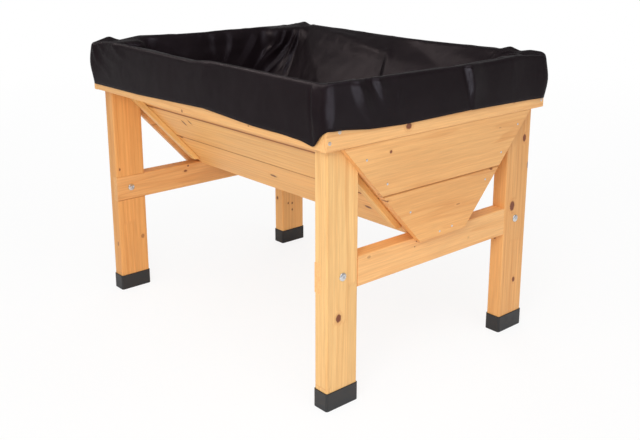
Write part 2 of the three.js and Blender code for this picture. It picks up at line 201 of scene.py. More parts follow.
class Nodes:
    """Adds nodes to a tree and links them: a value, or a socket of another node, feeds each input."""

    def __init__(self, tree):
        self.tree = tree

    def feed(self, socket, value):
        """Links a socket, or sets a plain value."""
        if isinstance(value, bpy.types.NodeSocket):
            self.tree.links.new(value, socket)
        else:
            socket.default_value = value

    def add(self, kind, inputs=(), **values):
        """New node with its own values set and its inputs fed."""
        node = self.tree.nodes.new(kind)
        for key, value in values.items():
            setattr(node, key, value)
        for key, value in dict(inputs).items():
            self.feed(node.inputs[key], value)
        return node

    def math(self, operation, a, b=0.0, c=0.0):
        """Result of a sum on one to three numbers."""
        return self.add("ShaderNodeMath", {0: a, 1: b, 2: c}, operation=operation).outputs[0]

    def vector(self, operation, a, b=(0.0, 0.0, 0.0), scale=1.0):
        """Result of a sum on one or two vectors."""
        inputs = {0: a, "Scale": scale} if operation == "SCALE" else {0: a}
        if operation not in ("LENGTH", "SCALE"):
            inputs[1] = b
        node = self.add("ShaderNodeVectorMath", inputs, operation=operation)
        return node.outputs["Value" if operation in ("LENGTH", "DOT_PRODUCT") else "Vector"]

    def ramp(self, value, low, high, to_low=0.0, to_high=1.0):
        """Smooth step of value between low and high."""
        inputs = {"Value": value, "From Min": low, "From Max": high, "To Min": to_low, "To Max": to_high}
        return self.add("ShaderNodeMapRange", inputs, interpolation_type="SMOOTHSTEP").outputs["Result"]

    def noise(self, vector, scale, detail=2.0, roughness=0.5):
        """Noise from 0 to 1."""
        inputs = {"Vector": vector, "Scale": scale, "Detail": detail, "Roughness": roughness}
        return self.add("ShaderNodeTexNoise", inputs).outputs["Fac"]

    def mix(self, factor, a, b):
        """Colour a at factor 0, b at factor 1."""
        node = self.add("ShaderNodeMix", data_type="RGBA", blend_type="MIX")
        self.feed(node.inputs["Factor"], factor)
        self.feed(node.inputs["A"], a)
        self.feed(node.inputs["B"], b)
        return node.outputs["Result"]

    def mapping(self, vector, location=(0, 0, 0), rotation=(0, 0, 0)):
        """Coordinates turned, then moved."""
        inputs = {"Vector": vector, "Location": location, "Rotation": rotation}
        return self.add("ShaderNodeMapping", inputs).outputs["Vector"]

    def bump(self, height, distance, strength, normal=None):
        """Normal bent by a height, on top of another bump where one is given."""
        inputs = {"Height": height, "Distance": distance, "Strength": strength}
        if normal is not None:
            inputs["Normal"] = normal
        return self.add("ShaderNodeBump", inputs).outputs["Normal"]


def group_tree(name, inputs, outputs):
    """New shader node group, as (tree, helper, its inputs, its outputs). inputs and outputs list each
    socket's name with F for a number or V for a vector."""
    tree = bpy.data.node_groups.new(name, "ShaderNodeTree")
    kinds = {"F": "NodeSocketFloat", "V": "NodeSocketVector"}
    for label, kind in inputs:
        tree.interface.new_socket(name=label, in_out="INPUT", socket_type=kinds[kind])
    for label, kind in outputs:
        tree.interface.new_socket(name=label, in_out="OUTPUT", socket_type=kinds[kind])
    make = Nodes(tree)
    return tree, make, make.add("NodeGroupInput").outputs, make.add("NodeGroupOutput").inputs


def with_alpha(rgb):
    """A colour with full opacity, as a colour socket takes it."""
    return (*rgb, 1.0)


def material(name):
    """Empty material with a Principled shader, as (material, helper, shader)."""
    made = bpy.data.materials.new(name)
    made.use_nodes = True
    made.node_tree.nodes.clear()
    make = Nodes(made.node_tree)
    shader = make.add("ShaderNodeBsdfPrincipled")
    make.add("ShaderNodeOutputMaterial", {"Surface": shader.outputs[0]})
    return made, make, shader


def place_group(make, tree, inputs):
    """Outputs of a node group placed in a material and fed with its inputs."""
    node = make.add("ShaderNodeGroup", node_tree=tree)
    for label, value in inputs.items():
        make.feed(node.inputs[label], value)
    return node.outputs


# ---- Effects that several materials share -----------------------------------------------------


def grain_group():
    """Growth rings of softwood on grain coordinates, whose X axis runs along the fibres.

    The ring number is the distance from the pith, bent by slow noise drawn out along the fibres and
    crowded here and there by quicker noise, over the ring width. Late wood is the last stretch of
    each ring. Fibre and the coarser Streak are noise drawn out forty times along the fibres, and Tone
    is slow noise.
    """
    tree, make, given, put = group_tree(
        "Softwood Grain",
        [("Vector", "V"), ("Pith", "V"), ("Ring Width", "F"), ("Bend", "F")],
        [("Late Wood", "F"), ("Fibre", "F"), ("Streak", "F"), ("Tone", "F")],
    )
    drawn = make.vector("MULTIPLY", given["Vector"], (0.09, 1.0, 1.0))
    wander = make.noise(drawn, 9.0, 2.0, 0.45)
    from_pith = make.vector("SUBTRACT", given["Vector"], given["Pith"])
    across = make.vector("LENGTH", make.vector("MULTIPLY", from_pith, (0.0, 1.0, 1.0)))
    bunches = make.noise(drawn, 31.0, 1.0, 0.5)
    distance = make.math("MULTIPLY_ADD", wander, 0.035, across)
    distance = make.math("MULTIPLY_ADD", bunches, 0.020, distance)
    distance = make.math("ADD", distance, given["Bend"])
    ring = make.math("FRACT", make.math("DIVIDE", distance, given["Ring Width"]))
    rise = make.ramp(ring, 0.50, 0.90)
    fall = make.ramp(ring, 0.92, 1.0, 1.0, 0.0)
    patches = make.vector("MULTIPLY", given["Vector"], (0.12, 1.0, 1.0))
    strong = make.ramp(make.noise(patches, 26.0, 2.0, 0.5), 0.3, 0.7, 0.25, 1.0)
    line = make.math("MULTIPLY", rise, fall)
    make.feed(put["Late Wood"], make.math("MULTIPLY", line, strong))
    fibres = make.vector("MULTIPLY", given["Vector"], (0.025, 1.0, 1.0))
    make.feed(put["Fibre"], make.noise(fibres, 620.0, 3.0, 0.6))
    make.feed(put["Streak"], make.noise(fibres, 170.0, 2.0, 0.5))
    make.feed(put["Tone"], make.noise(drawn, 5.0, 3.0, 0.55))
    return tree


def knot_group():
    """A knot: an ellipsoid round its centre with a ragged edge. Core is 1 inside it, and Halo fades
    out to two radii."""
    tree, make, given, put = group_tree(
        "Knot", [("Vector", "V"), ("Centre", "V"), ("Reach", "V")], [("Core", "F"), ("Halo", "F")]
    )
    from_centre = make.vector("SUBTRACT", given["Vector"], given["Centre"])
    radii = make.vector("LENGTH", make.vector("DIVIDE", from_centre, given["Reach"]))
    ragged = make.noise(given["Vector"], 260.0, 2.0, 0.5)
    distance = make.math("ADD", radii, make.math("MULTIPLY_ADD", ragged, 0.5, -0.25))
    make.feed(put["Core"], make.ramp(distance, 0.7, 1.08, 1.0, 0.0))
    make.feed(put["Halo"], make.ramp(distance, 0.8, 2.0, 1.0, 0.0))
    return tree


def seam_group():
    """The joint between two boards: a plane. The line fades out one width from it, ragged by noise,
    and the painted shade of the groove round it three widths from it."""
    tree, make, given, put = group_tree(
        "Board Seam",
        [("Vector", "V"), ("Normal", "V"), ("Place", "F"), ("Width", "F")],
        [("Line", "F"), ("Shade", "F")],
    )
    height = make.vector("DOT_PRODUCT", given["Vector"], given["Normal"])
    above = make.math("SUBTRACT", height, given["Place"])
    ragged = make.noise(given["Vector"], 40.0, 2.0, 0.5)
    distance = make.math("MULTIPLY_ADD", ragged, 0.0016, make.math("ABSOLUTE", above))
    distance = make.math("DIVIDE", distance, given["Width"])
    make.feed(put["Line"], make.ramp(distance, 0.5, 1.0, 1.0, 0.0))
    make.feed(put["Shade"], make.ramp(distance, 0.5, 3.0, 1.0, 0.0))
    return tree


def smudge_group():
    """Faint uneven smudges: the Mask is 1 where slow noise is strong."""
    tree, make, given, put = group_tree("Smudges", [("Vector", "V"), ("Scale", "F")], [("Mask", "F")])
    broad = make.noise(given["Vector"], given["Scale"], 3.0, 0.6)
    make.feed(put["Mask"], make.ramp(broad, 0.42, 0.75))
    return tree


def strips_group():
    """Glued strips: lanes across the fibres, each cut along them by finger joints.

    The lane is the whole number of strip widths across, and the stretch is the whole number of
    lengths along, with a zigzag of fingers added. Each pair draws its own Tone and its own Shift of
    the grain. Seam is 1 on a joint.
    """
    tree, make, given, put = group_tree(
        "Glued Strips",
        [("Vector", "V"), ("Width", "F"), ("Length", "F"), ("Offset", "F")],
        [("Shift", "V"), ("Tone", "F"), ("Seam", "F")],
    )
    split = make.add("ShaderNodeSeparateXYZ", {0: given["Vector"]}).outputs
    across = make.math("ADD", make.math("DIVIDE", split["Y"], given["Width"]), given["Offset"])
    lane = make.math("FLOOR", across)
    fingers = make.math("PINGPONG", split["Y"], 0.0022)
    drawn = make.add("ShaderNodeTexWhiteNoise", {"W": lane}, noise_dimensions="1D").outputs["Value"]
    along = make.math("MULTIPLY_ADD", fingers, 4.5, split["X"])
    along = make.math("ADD", make.math("DIVIDE", along, given["Length"]), drawn)
    stretch = make.math("FLOOR", along)
    pair = make.add("ShaderNodeCombineXYZ", {0: lane, 1: stretch, 2: given["Offset"]}).outputs[0]
    random = make.add("ShaderNodeTexWhiteNoise", {"Vector": pair}, noise_dimensions="3D").outputs
    make.feed(put["Tone"], random["Value"])
    centred = make.vector("SUBTRACT", random["Color"], (0.5, 0.5, 0.5))
    make.feed(put["Shift"], make.vector("MULTIPLY", centred, (2.0, 0.06, 0.06)))
    off_lane = make.math("MULTIPLY", make.math("PINGPONG", across, 0.5), given["Width"])
    off_finger = make.math("MULTIPLY", make.math("PINGPONG", along, 0.5), given["Length"])
    nearest = make.math("MINIMUM", off_lane, make.math("MULTIPLY", off_finger, 0.35))
    make.feed(put["Seam"], make.ramp(nearest, 0.0002, 0.0009, 1.0, 0.0))
    return tree


def effect(name):
    """The node group of this name, which is made when it is first asked for."""
    makers = {
        "Softwood Grain": grain_group,
        "Knot": knot_group,
        "Board Seam": seam_group,
        "Smudges": smudge_group,
        "Glued Strips": strips_group,
    }
    return bpy.data.node_groups.get(name) or makers[name]()


# ---- Wood -------------------------------------------------------------------------------------

# Turns that bring the fibres onto X.
ALONG_X = (0.0, 0.0, 0.0)
ALONG_Y = (0.0, 0.0, math.radians(-90))
ALONG_Z = (0.0, math.radians(90), 0.0)
UP_BACK_SLOPE = (FLARE, math.radians(90), 0.0)
UP_FRONT_SLOPE = (-FLARE, math.radians(90), 0.0)

PLAIN = (1.0, 1.0, 1.0)  # tint that leaves the stain as it is
NO_STRIPS = (3.0, 9.0, 0.5)  # strips so wide and long that no joint falls on a piece
LEG_STRIPS = (0.047, 0.62)  # width and length of the strips that a leg is glued from

# Shades of the stain where each effect is weakest and strongest.
FIBRE_SHADES = (0.91, 1.05)
TONE_SHADES = (0.91, 1.05)
STRIP_SHADES = (0.96, 1.03)

# How much of another colour each effect takes at its strongest.
STREAK_WARMTH = 0.26
GLUE_DEPTH = 0.35
KNOT_HALO_DEPTH = 0.4
# Depth of the painted shade round a seam's groove.
SEAM_PAINTED_SHADE_DEPTH = 0.25
SEAM_LINE_DEPTH = 0.85

KNOT_PUSH = 2.2  # how many ring widths a knot pushes the rings aside
KNOT_REACH_IN = 0.02  # how far a knot reaches into the board behind its face

# Height on the outer face of the side boards, width and depth of colour of each seam. The upper seam lies
# just under the rim rail and is drawn wider and darker: partly the joint, partly painted shadow of the
# rail over the board.
SIDE_SEAMS = ((0.4596, 0.0040, 0.8), (0.5650, 0.0065, 1.0))
END_SEAM_LOOK = (0.004, 0.5)  # width and depth of colour of the seam between the end boards


def draw_knots(make, stained, placed):
    """The stain with the halo and the core of each placed knot on it."""
    look = settings("wood")
    for knot, depth in placed:
        halo = make.math("MULTIPLY", knot["Halo"], KNOT_HALO_DEPTH * depth)
        core = make.math("MULTIPLY", knot["Core"], depth)
        stained = make.mix(halo, stained, with_alpha(look.halo))
        stained = make.mix(core, stained, with_alpha(look.knot))
    return stained


def draw_seams(make, stained, place, seams):
    """The stain with the painted shade and the line of each seam on it."""
    look = settings("wood")
    for normal, level, width, depth in seams:
        plane = {"Vector": place, "Normal": normal, "Place": level, "Width": width}
        seam = place_group(make, effect("Board Seam"), plane)
        # Painted shade round the groove of the seam.
        shade = make.math("MULTIPLY", seam["Shade"], SEAM_PAINTED_SHADE_DEPTH * depth)
        line = make.math("MULTIPLY", seam["Line"], SEAM_LINE_DEPTH * depth)
        stained = make.mix(shade, stained, with_alpha(look.halo))
        stained = make.mix(line, stained, with_alpha(look.seam))
    return stained


def stain(node, turn, heart, ring=1.0, tint=PLAIN, strips=NO_STRIPS, knots=(), seed=0.0, seams=()):
    """Gives a wooden piece its own stained softwood.

    turn brings the fibres onto X, heart is where the middle of the tree lies across them, ring
    scales the ring width and tint the colour, and strips is the (width, length, offset) of glued
    strips. Each knot is (centre, reach, depth of colour) and bends the rings round it. Each seam is
    the (normal, place, width, depth of colour) of the plane between two boards. seed moves the
    figure along the fibres.
    """
    look = settings("wood")
    made, make, shader = material("stained " + node.replace("_", " "))
    place = make.add("ShaderNodeTexCoord").outputs["Object"]
    fibres = make.mapping(place, rotation=turn)
    strip_sizes = dict(zip(("Width", "Length", "Offset"), strips))
    glued = place_group(make, effect("Glued Strips"), {"Vector": fibres, **strip_sizes})

    bend = 0.0
    placed = []
    for centre, reach, depth in knots:
        knot = place_group(make, effect("Knot"), {"Vector": place, "Centre": centre, "Reach": reach})
        bend = make.math("MULTIPLY_ADD", knot["Halo"], KNOT_PUSH * look.ring, bend)
        placed.append((knot, depth))

    moved = make.vector("ADD", make.mapping(fibres, location=(seed, 0.0, 0.0)), glued["Shift"])
    rings = {"Vector": moved, "Pith": (0.0, *heart), "Ring Width": look.ring * ring, "Bend": bend}
    grain = place_group(make, effect("Softwood Grain"), rings)
    late = make.math("MULTIPLY", grain["Late Wood"], look.contrast)
    stained = make.mix(late, with_alpha(look.early), with_alpha(look.late))
    warm = make.ramp(grain["Streak"], 0.34, 0.66, STREAK_WARMTH, 0.0)
    stained = make.mix(warm, stained, with_alpha(look.halo))
    fibre = make.ramp(grain["Fibre"], 0.3, 0.72, *FIBRE_SHADES)
    tone = make.ramp(grain["Tone"], 0.3, 0.7, *TONE_SHADES)
    strip = make.ramp(glued["Tone"], 0.0, 1.0, *STRIP_SHADES)
    shade = make.math("MULTIPLY", make.math("MULTIPLY", fibre, tone), strip)
    stained = make.vector("SCALE", make.vector("MULTIPLY", stained, tint), scale=shade)
    stained = make.mix(make.math("MULTIPLY", glued["Seam"], GLUE_DEPTH), stained, with_alpha(look.halo))
    stained = draw_knots(make, stained, placed)
    make.feed(shader.inputs["Base Color"], draw_seams(make, stained, place, seams))
    rough = make.ramp(grain["Fibre"], 0.2, 0.8, look.roughness - 0.06, look.roughness + 0.1)
    make.feed(shader.inputs["Roughness"], rough)
    relief = make.math("MULTIPLY_ADD", grain["Fibre"], 0.5, late)
    make.feed(shader.inputs["Normal"], make.bump(relief, 0.0004, 0.5))
    give(node, made)


def knot_on(face, first, second, across, along, depth=1.0):
    """A knot that comes out through a face. face is "x" or "y" with the plane's place, first and
    second are its place on that face, and across and along are its half sizes there."""
    axis, plane = face
    if axis == "x":
        return (plane, first, second), (KNOT_REACH_IN, across, along), depth
    return (first, plane, second), (across, KNOT_REACH_IN, along), depth


def stain_legs():
    """Stain the legs: upright fibres, glued strips, and each leg's own heart, tint and knots. Each tint
    is partly the leg's own tone and partly painted light and shade: lighter on the front right leg and on
    the back left leg under the trough, darker and more orange on the back right and front left legs.
    """
    woods = {  # heart, tint (partly painted light and shade), offset of the strips, knots
        "front_right_leg": ((0.13, -0.05), (1.08, 1.19, 1.21), 0.33, [
            knot_on(("x", LEG_OUTER_X), -0.325, 0.222, 0.0085, 0.011),
            knot_on(("y", -LEG_INNER_Y), 0.462, 0.50, 0.005, 0.007, 0.7),
            knot_on(("x", LEG_INNER_X), -0.30, 0.42, 0.007, 0.009, 0.8),
        ]),
        "back_right_leg": ((-0.44, -0.62), (0.93, 0.87, 0.78), 0.74, [
            knot_on(("x", LEG_OUTER_X), 0.335, 0.536, 0.0075, 0.011),
            knot_on(("x", LEG_OUTER_X), 0.298, 0.356, 0.0105, 0.015),
            knot_on(("x", LEG_OUTER_X), 0.322, 0.141, 0.006, 0.008),
            knot_on(("x", LEG_OUTER_X), LEG_OUTER_Y, 0.459, 0.007, 0.012),
            knot_on(("y", LEG_INNER_Y), 0.462, 0.268, 0.004, 0.006, 0.8),
        ]),
        "front_left_leg": ((0.30, 0.38), (0.90, 0.80, 0.64), 0.52, [
            knot_on(("x", -LEG_INNER_X), -0.283, 0.1565, 0.006, 0.0075, 0.55),
            knot_on(("x", -LEG_INNER_X), -0.348, 0.379, 0.003, 0.0045, 0.9),
            knot_on(("y", -LEG_OUTER_Y), -0.462, 0.145, 0.004, 0.008, 0.6),
            knot_on(("x", -LEG_OUTER_X), -0.31, 0.51, 0.008, 0.011, 0.9),
        ]),
        "back_left_leg": ((-0.20, 0.52), (1.09, 1.08, 1.0), 0.2, [
            knot_on(("y", LEG_INNER_Y), -0.476, 0.160, 0.005, 0.006, 0.9),
            knot_on(("x", -LEG_INNER_X), 0.292, 0.142, 0.003, 0.004, 0.9),
            knot_on(("x", -LEG_INNER_X), 0.310, 0.139, 0.0035, 0.004, 0.9),
            knot_on(("x", -LEG_INNER_X), 0.310, 0.115, 0.003, 0.004, 0.9),
            knot_on(("x", -LEG_OUTER_X), 0.33, 0.33, 0.010, 0.014),
        ]),
    }
    for number, (leg, (heart, tint, offset, knots)) in enumerate(woods.items()):
        strips = (*LEG_STRIPS, offset)
        stain(leg, ALONG_Z, heart, ring=1.9, tint=tint, strips=strips, knots=knots, seed=1.7 * number)


def stain_rails():
    """Stain the cross rails and the four rails of the rim."""
    cross_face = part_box("right_cross_rail")[1].x
    woods = {  # turn of the fibres, heart, ring width, tint, seed, knots
        "right_cross_rail": (ALONG_Y, (0.40, 0.26), 1.1, PLAIN, 0.4, [
            knot_on(("x", cross_face), -0.073, 0.346, 0.0026, 0.0026),
            knot_on(("x", cross_face), -0.079, 0.333, 0.0018, 0.0018),
            knot_on(("x", cross_face), -0.232, 0.345, 0.006, 0.004, 0.35),
            knot_on(("x", cross_face), 0.121, 0.309, 0.004, 0.003, 0.2),
        ]),
        "left_cross_rail": (ALONG_Y, (-0.52, 0.35), 0.9, (0.95, 0.92, 0.88), 2.1, [
            knot_on(("x", -LEG_INNER_X), -0.111, 0.349, 0.0035, 0.0035),
            knot_on(("x", -LEG_INNER_X), -0.121, 0.334, 0.007, 0.004, 0.9),
            knot_on(("x", -LEG_OUTER_X), 0.14, 0.31, 0.010, 0.008, 0.9),
        ]),
        "right_rim_rail": (ALONG_Y, (0.47, 0.57), 1.2, (0.98, 0.99, 1.0), 3.3, [
            knot_on(("x", RIM_X), -0.132, 0.6395, 0.010, 0.008),
            knot_on(("x", RIM_X), 0.255, 0.6475, 0.006, 0.005, 0.9),
        ]),
        "left_rim_rail": (ALONG_Y, (-0.56, 0.70), 1.0, (0.98, 0.97, 0.94), 4.2, [
            knot_on(("x", -RIM_X), 0.17, 0.634, 0.011, 0.008),
            knot_on(("x", -RIM_X), -0.22, 0.627, 0.007, 0.005),
        ]),
        "front_rim_rail": (ALONG_X, (-0.33, 0.60), 1.1, (1.0, 1.0, 0.98), 5.6, [
            knot_on(("y", -RIM_Y), -0.042, 0.6225, 0.0035, 0.0045, 0.8),
            knot_on(("y", -RIM_Y), 0.239, 0.631, 0.003, 0.002, 0.7),
        ]),
        "back_rim_rail": (ALONG_X, (0.34, 0.73), 1.0, (0.97, 0.96, 0.95), 6.5, [
            knot_on(("y", RIM_Y), 0.21, 0.632, 0.012, 0.008),
            knot_on(("y", RIM_Y), -0.31, 0.628, 0.008, 0.006),
        ]),
    }
    for rail, (turn, heart, ring, tint, seed, knots) in woods.items():
        stain(rail, turn, heart, ring=ring, tint=tint, knots=knots, seed=seed)


def stain_side_boards():
    """Stain the tongue-and-groove boards of the two sloping sides."""
    # The tints lighten every board beyond the stain: painted light from the floor on these outward and
    # downward facing boards, with a little tone of each board's own.
    tints_with_painted_light = ((1.08, 1.13, 1.06), (1.09, 1.15, 1.07), (1.08, 1.12, 1.04))
    marks = {  # knots of each board, and dark spots at the seams' ends beside the battens
        "front_side_board_3": [((0.148, -0.256, 0.562), (0.004, 0.002, 0.0025), 1.0)],
        "front_side_board_2": [
            ((-0.275, -0.228, 0.532), (0.0045, 0.013, 0.013), 1.0),
            ((-0.2305, -0.2378, 0.542), (0.004, 0.010, 0.010), 0.9),
            # Dark spot where the upper seam's groove runs under the left batten: painted shade, drawn as
            # a knot.
            ((-0.405, -0.259, 0.5645), (0.011, 0.007, 0.008), 1.0),
            ((0.12, -0.205, 0.510), (0.007, 0.003, 0.0025), 0.3),
        ],
        "front_side_board_1": [
            ((-0.0085, -0.115, 0.4104), (0.014, 0.006, 0.006), 1.0),
            ((0.3655, -0.115, 0.4105), (0.012, 0.006, 0.006), 0.95),
            # Dark spots where the lower seam's groove runs under the battens: painted shade, drawn as
            # knots.
            ((0.382, -0.160, 0.459), (0.006, 0.003, 0.003), 0.9),
            ((-0.405, -0.159, 0.458), (0.010, 0.007, 0.008), 1.0),
        ],
        "back_side_board_1": [((-0.21, 0.146, 0.42), (0.014, 0.011, 0.011), 1.0)],
        "back_side_board_2": [((0.29, 0.216, 0.50), (0.012, 0.010, 0.010), 1.0)],
        "back_side_board_3": [((-0.05, 0.291, 0.58), (0.010, 0.008, 0.008), 0.9)],
    }
    for number, (board, knots) in enumerate(marks.items()):
        side = -1.0 if board.startswith("front") else 1.0
        heart = (side * (0.18 + 0.055 * number), 0.30 + 0.06 * number)
        up_slope = (0.0, side * math.sin(FLARE), math.cos(FLARE))
        seams = [(up_slope, outer_slope_place(up), width, depth) for up, width, depth in SIDE_SEAMS]
        stain(
            board, ALONG_X, heart, ring=1.6, tint=tints_with_painted_light[number % 3], knots=knots,
            seed=7.0 + 1.3 * number, seams=seams,
        )


def stain_end_boards():
    """Stain the tongue-and-groove boards of the two ends."""
    woods = {  # heart, tint, knots
        "right_end_board_2": ((0.455, 0.565), (0.92, 0.89, 0.84), [
            knot_on(("x", END_FACE), -0.186, 0.5885, 0.0042, 0.0042),
            # Dark spot at the open end of the groove between the end boards, on the slanted edge: painted
            # shade, drawn as a knot.
            knot_on(("x", END_FACE), -0.216, 0.4865, 0.0055, 0.0022),
            knot_on(("x", END_FACE), 0.205, 0.586, 0.006, 0.0015, 0.35),
        ]),
        "right_end_board_1": ((0.60, 0.40), (0.93, 0.86, 0.76), [
            knot_on(("x", END_FACE), 0.177, END_SEAM - 0.002, 0.0065, 0.0035),
            knot_on(("x", END_FACE), -0.198, 0.4745, 0.010, 0.0022, 0.9),
            knot_on(("x", END_FACE), 0.053, 0.417, 0.008, 0.0022, 0.4),
        ]),
        "left_end_board_2": ((-0.46, 0.52), (0.98, 0.97, 0.95), [
            knot_on(("x", -END_FACE), 0.12, 0.56, 0.012, 0.009),
        ]),
        "left_end_board_1": ((-0.57, 0.44), (0.95, 0.93, 0.90), [
            knot_on(("x", -END_FACE), -0.04, 0.43, 0.009, 0.007, 0.9),
        ]),
    }
    seams = [((0.0, 0.0, 1.0), END_SEAM, *END_SEAM_LOOK)]
    for number, (board, (heart, tint, knots)) in enumerate(woods.items()):
        stain(
            board, ALONG_Y, heart, ring=1.1, tint=tint, knots=knots, seed=15.0 + 1.9 * number,
            seams=seams,
        )


def stain_floor_board():
    """Stain the floor board, with one knot right through it."""
    knot = ((0.22, 0.02, TROUGH_BOTTOM + 0.02), (0.012, 0.010, 0.03), 1.0)
    stain("floor_board", ALONG_X, (0.05, 0.31), ring=1.2, knots=[knot], seed=24.0)


def stain_slopes():
    """Stain the struts and the battens, whose fibres run up the slope."""
    strut_knot = ((-LEG_INNER_X - 0.04, -0.17, 0.50), (0.012, 0.006, 0.006), 0.9)
    for number, end in enumerate(("front_right", "front_left", "back_right", "back_left")):
        turn = UP_FRONT_SLOPE if end.startswith("front") else UP_BACK_SLOPE
        stain(
            end + "_strut", turn, (0.12 + 0.07 * number, 0.36), ring=0.9, tint=(0.95, 0.90, 0.85),
            knots=[strut_knot] if end == "front_left" else [], seed=26.0 + number,
        )
        # The battens' tint lightens them beyond the stain: painted light on pieces that stand in shade.
        stain(
            end + "_batten", turn, (-0.08 + 0.06 * number, 0.44), ring=0.9, tint=(1.08, 1.22, 1.15),
            seed=31.0 + number,
        )


def give(node, made):
    """Puts a material on every slot of a carried-over node."""
    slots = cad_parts[node].material_slots
    if not slots:
        raise RuntimeError(f"{node} has no material slot")
    for place in slots:
        place.link = "OBJECT"
        place.material = made


class PLANTER_OT_wood(bpy.types.Operator):
    """Stain the legs, rails, boards, struts and battens."""

    bl_idname = "planter.wood"
    bl_label = "Stain the Wood"

    def execute(self, context):
        stain_legs()
        stain_rails()
        stain_side_boards()
        stain_end_boards()
        stain_floor_board()
        stain_slopes()
        return {"FINISHED"}


# ---- Plastic and zinc -------------------------------------------------------------------------


def plastic_material():
    """Black moulded plastic: an even fine grain, and smudges that make it paler and duller."""
    look = settings("fixing")
    made, make, shader = material("moulded plastic")
    place = make.add("ShaderNodeTexCoord").outputs["Object"]
    smudge = place_group(make, effect("Smudges"), {"Vector": place, "Scale": 34.0})["Mask"]
    paler = tuple(1.35 * part for part in look.plastic)
    tint = make.mix(make.math("MULTIPLY", smudge, 0.6), with_alpha(look.plastic), with_alpha(paler))
    make.feed(shader.inputs["Base Color"], tint)
    make.feed(shader.inputs["Roughness"], make.ramp(smudge, 0.0, 1.0, 0.42, 0.55))
    moulded = make.noise(place, 1500.0, 2.0, 0.5)
    make.feed(shader.inputs["Normal"], make.bump(moulded, 0.0002, 0.35))
    return made


def zinc_material():
    """Zinc plating: bright metal, faintly mottled."""
    look = settings("fixing")
    made, make, shader = material("zinc plating")
    place = make.add("ShaderNodeTexCoord").outputs["Object"]
    mottled = place_group(make, effect("Smudges"), {"Vector": place, "Scale": 420.0})["Mask"]
    dull = tuple(0.72 * part for part in look.zinc)
    tint = make.mix(make.math("MULTIPLY", mottled, 0.5), with_alpha(look.zinc), with_alpha(dull))
    make.feed(shader.inputs["Base Color"], tint)
    shader.inputs["Metallic"].default_value = 1.0
    make.feed(shader.inputs["Roughness"], make.ramp(mottled, 0.0, 1.0, 0.24, 0.42))
    return made


def mesh_piece(name, points, faces, made, smooth=True):
    """New object from points and faces, at the origin, with its material."""
    mesh = bpy.data.meshes.new(name)
    mesh.from_pydata(points, [], faces)
    mesh.validate()
    mesh.polygons.foreach_set("use_smooth", [smooth] * len(mesh.polygons))
    mesh.materials.append(made)
    mesh.update()
    piece = bpy.data.objects.new(name, mesh)
    bpy.context.scene.collection.objects.link(piece)
    return piece


def grid_faces(rows, columns):
    """Quads of a grid whose columns close on themselves: each joins a point to its right and above."""
    row, column = np.meshgrid(np.arange(rows - 1), np.arange(columns), indexing="ij")
    right = (column + 1) % columns
    corners = (row * columns + column, row * columns + right, (row + 1) * columns + right,
               (row + 1) * columns + column)
    return np.stack(corners, axis=-1).reshape(-1, 4)


HEAD_RINGS = 13
HEAD_SIDES = 40
HEAD_MIDDLE = 0.02  # radius of the innermost ring, as a share of the head's
HEAD_STAND = 0.25  # how far the edge of a head stands off the wood, as a share of its crown
HEAD_SINK = 0.6  # how far its back lies in the wood, as a share of its crown
CROSS_HALF_WIDTH = 0.13  # half width and reach of the driver's cross, as shares of the radius
CROSS_REACH = 0.62


def head(centre, outward, radius, crown, recess, turn):
    """Screw or nail head facing outward along X.

    Rings of growing radius: the height is a shallow dome, crown times (1 - (r / radius) squared),
    on a rim a quarter of the crown high, less the recess inside a cross turned by an angle. The last
    ring drops straight back into the wood.
    """
    rings = np.concatenate([np.linspace(HEAD_MIDDLE, 1.0, HEAD_RINGS), [1.0]]) * radius
    angles = np.arange(HEAD_SIDES) * (2 * math.pi / HEAD_SIDES)
    ring, around = np.meshgrid(rings, angles, indexing="ij")
    rise = crown * (1 - (ring / radius) ** 2) + HEAD_STAND * crown
    off_arms = np.minimum(np.abs(np.sin(around - turn)), np.abs(np.cos(around - turn))) * ring
    in_cross = (off_arms < CROSS_HALF_WIDTH * radius) & (ring < CROSS_REACH * radius)
    rise = np.where(in_cross, rise - recess, rise)
    rise[-1] = -HEAD_SINK * crown
    x = centre[0] + outward * rise
    y = centre[1] - outward * ring * np.cos(around)
    z = centre[2] + ring * np.sin(around)
    points = np.stack([x, y, z], axis=-1).reshape(-1, 3)
    faces = grid_faces(len(rings), HEAD_SIDES).tolist()
    faces.append(list(range(HEAD_SIDES))[::-1])
    last = (len(rings) - 1) * HEAD_SIDES
    faces.append(list(range(last, last + HEAD_SIDES)))
    return points, faces


def join_heads(heads):
    """Points and faces of several heads as one list."""
    points, faces, count = [], [], 0
    for own_points, own_faces in heads:
        points.append(own_points)
        faces += [[corner + count for corner in face] for face in own_faces]
        count += len(own_points)
    return np.concatenate(points), faces


# Screws at each end of an end rail: how far out each lies and its height above the rail's lower edge.
RIM_SCREWS = ((0.343, 0.040), (0.371, 0.0195))
RIM_SCREW_RISE = 0.068  # from the lower pair of screws to the upper one

# Nails through an end panel: how far across each lies, and its height.
PANEL_NAILS = (
    (-0.2604, 0.5816), (-0.1951, 0.5153), (-0.1170, 0.4320), (-0.0120, 0.3616),
    (0.0330, 0.3652), (0.1546, 0.4607), (0.2140, 0.5210), (0.2770, 0.5850),
)

SCREW_CROWN = 0.0006  # height of the dome of a screw head, and depth of its cross
SCREW_CROSS = 0.0012
NAIL_CROWN = 0.0004


def rim_screws(end):
    """Places of the screws through an end rail: a staggered pair at each end, low and high."""
    for rise in (0.0, RIM_SCREW_RISE):
        for across, up in RIM_SCREWS:
            for side in (-1, 1):
                yield end * RIM_X, side * across, RIM_BOTTOM + up + rise


def panel_nails(end):
    """Places of the nails through the end boards into the struts and the floor board."""
    for across, up in PANEL_NAILS:
        yield end * END_FACE, across, up


class PLANTER_OT_feet(bpy.types.Operator):
    """Finish the plastic foot caps."""

    bl_idname = "planter.feet"
    bl_label = "Finish the Foot Caps"

    def execute(self, context):
        plastic = plastic_material()
        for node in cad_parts:
            if node.endswith("foot_cap"):
                give(node, plastic)
        return {"FINISHED"}


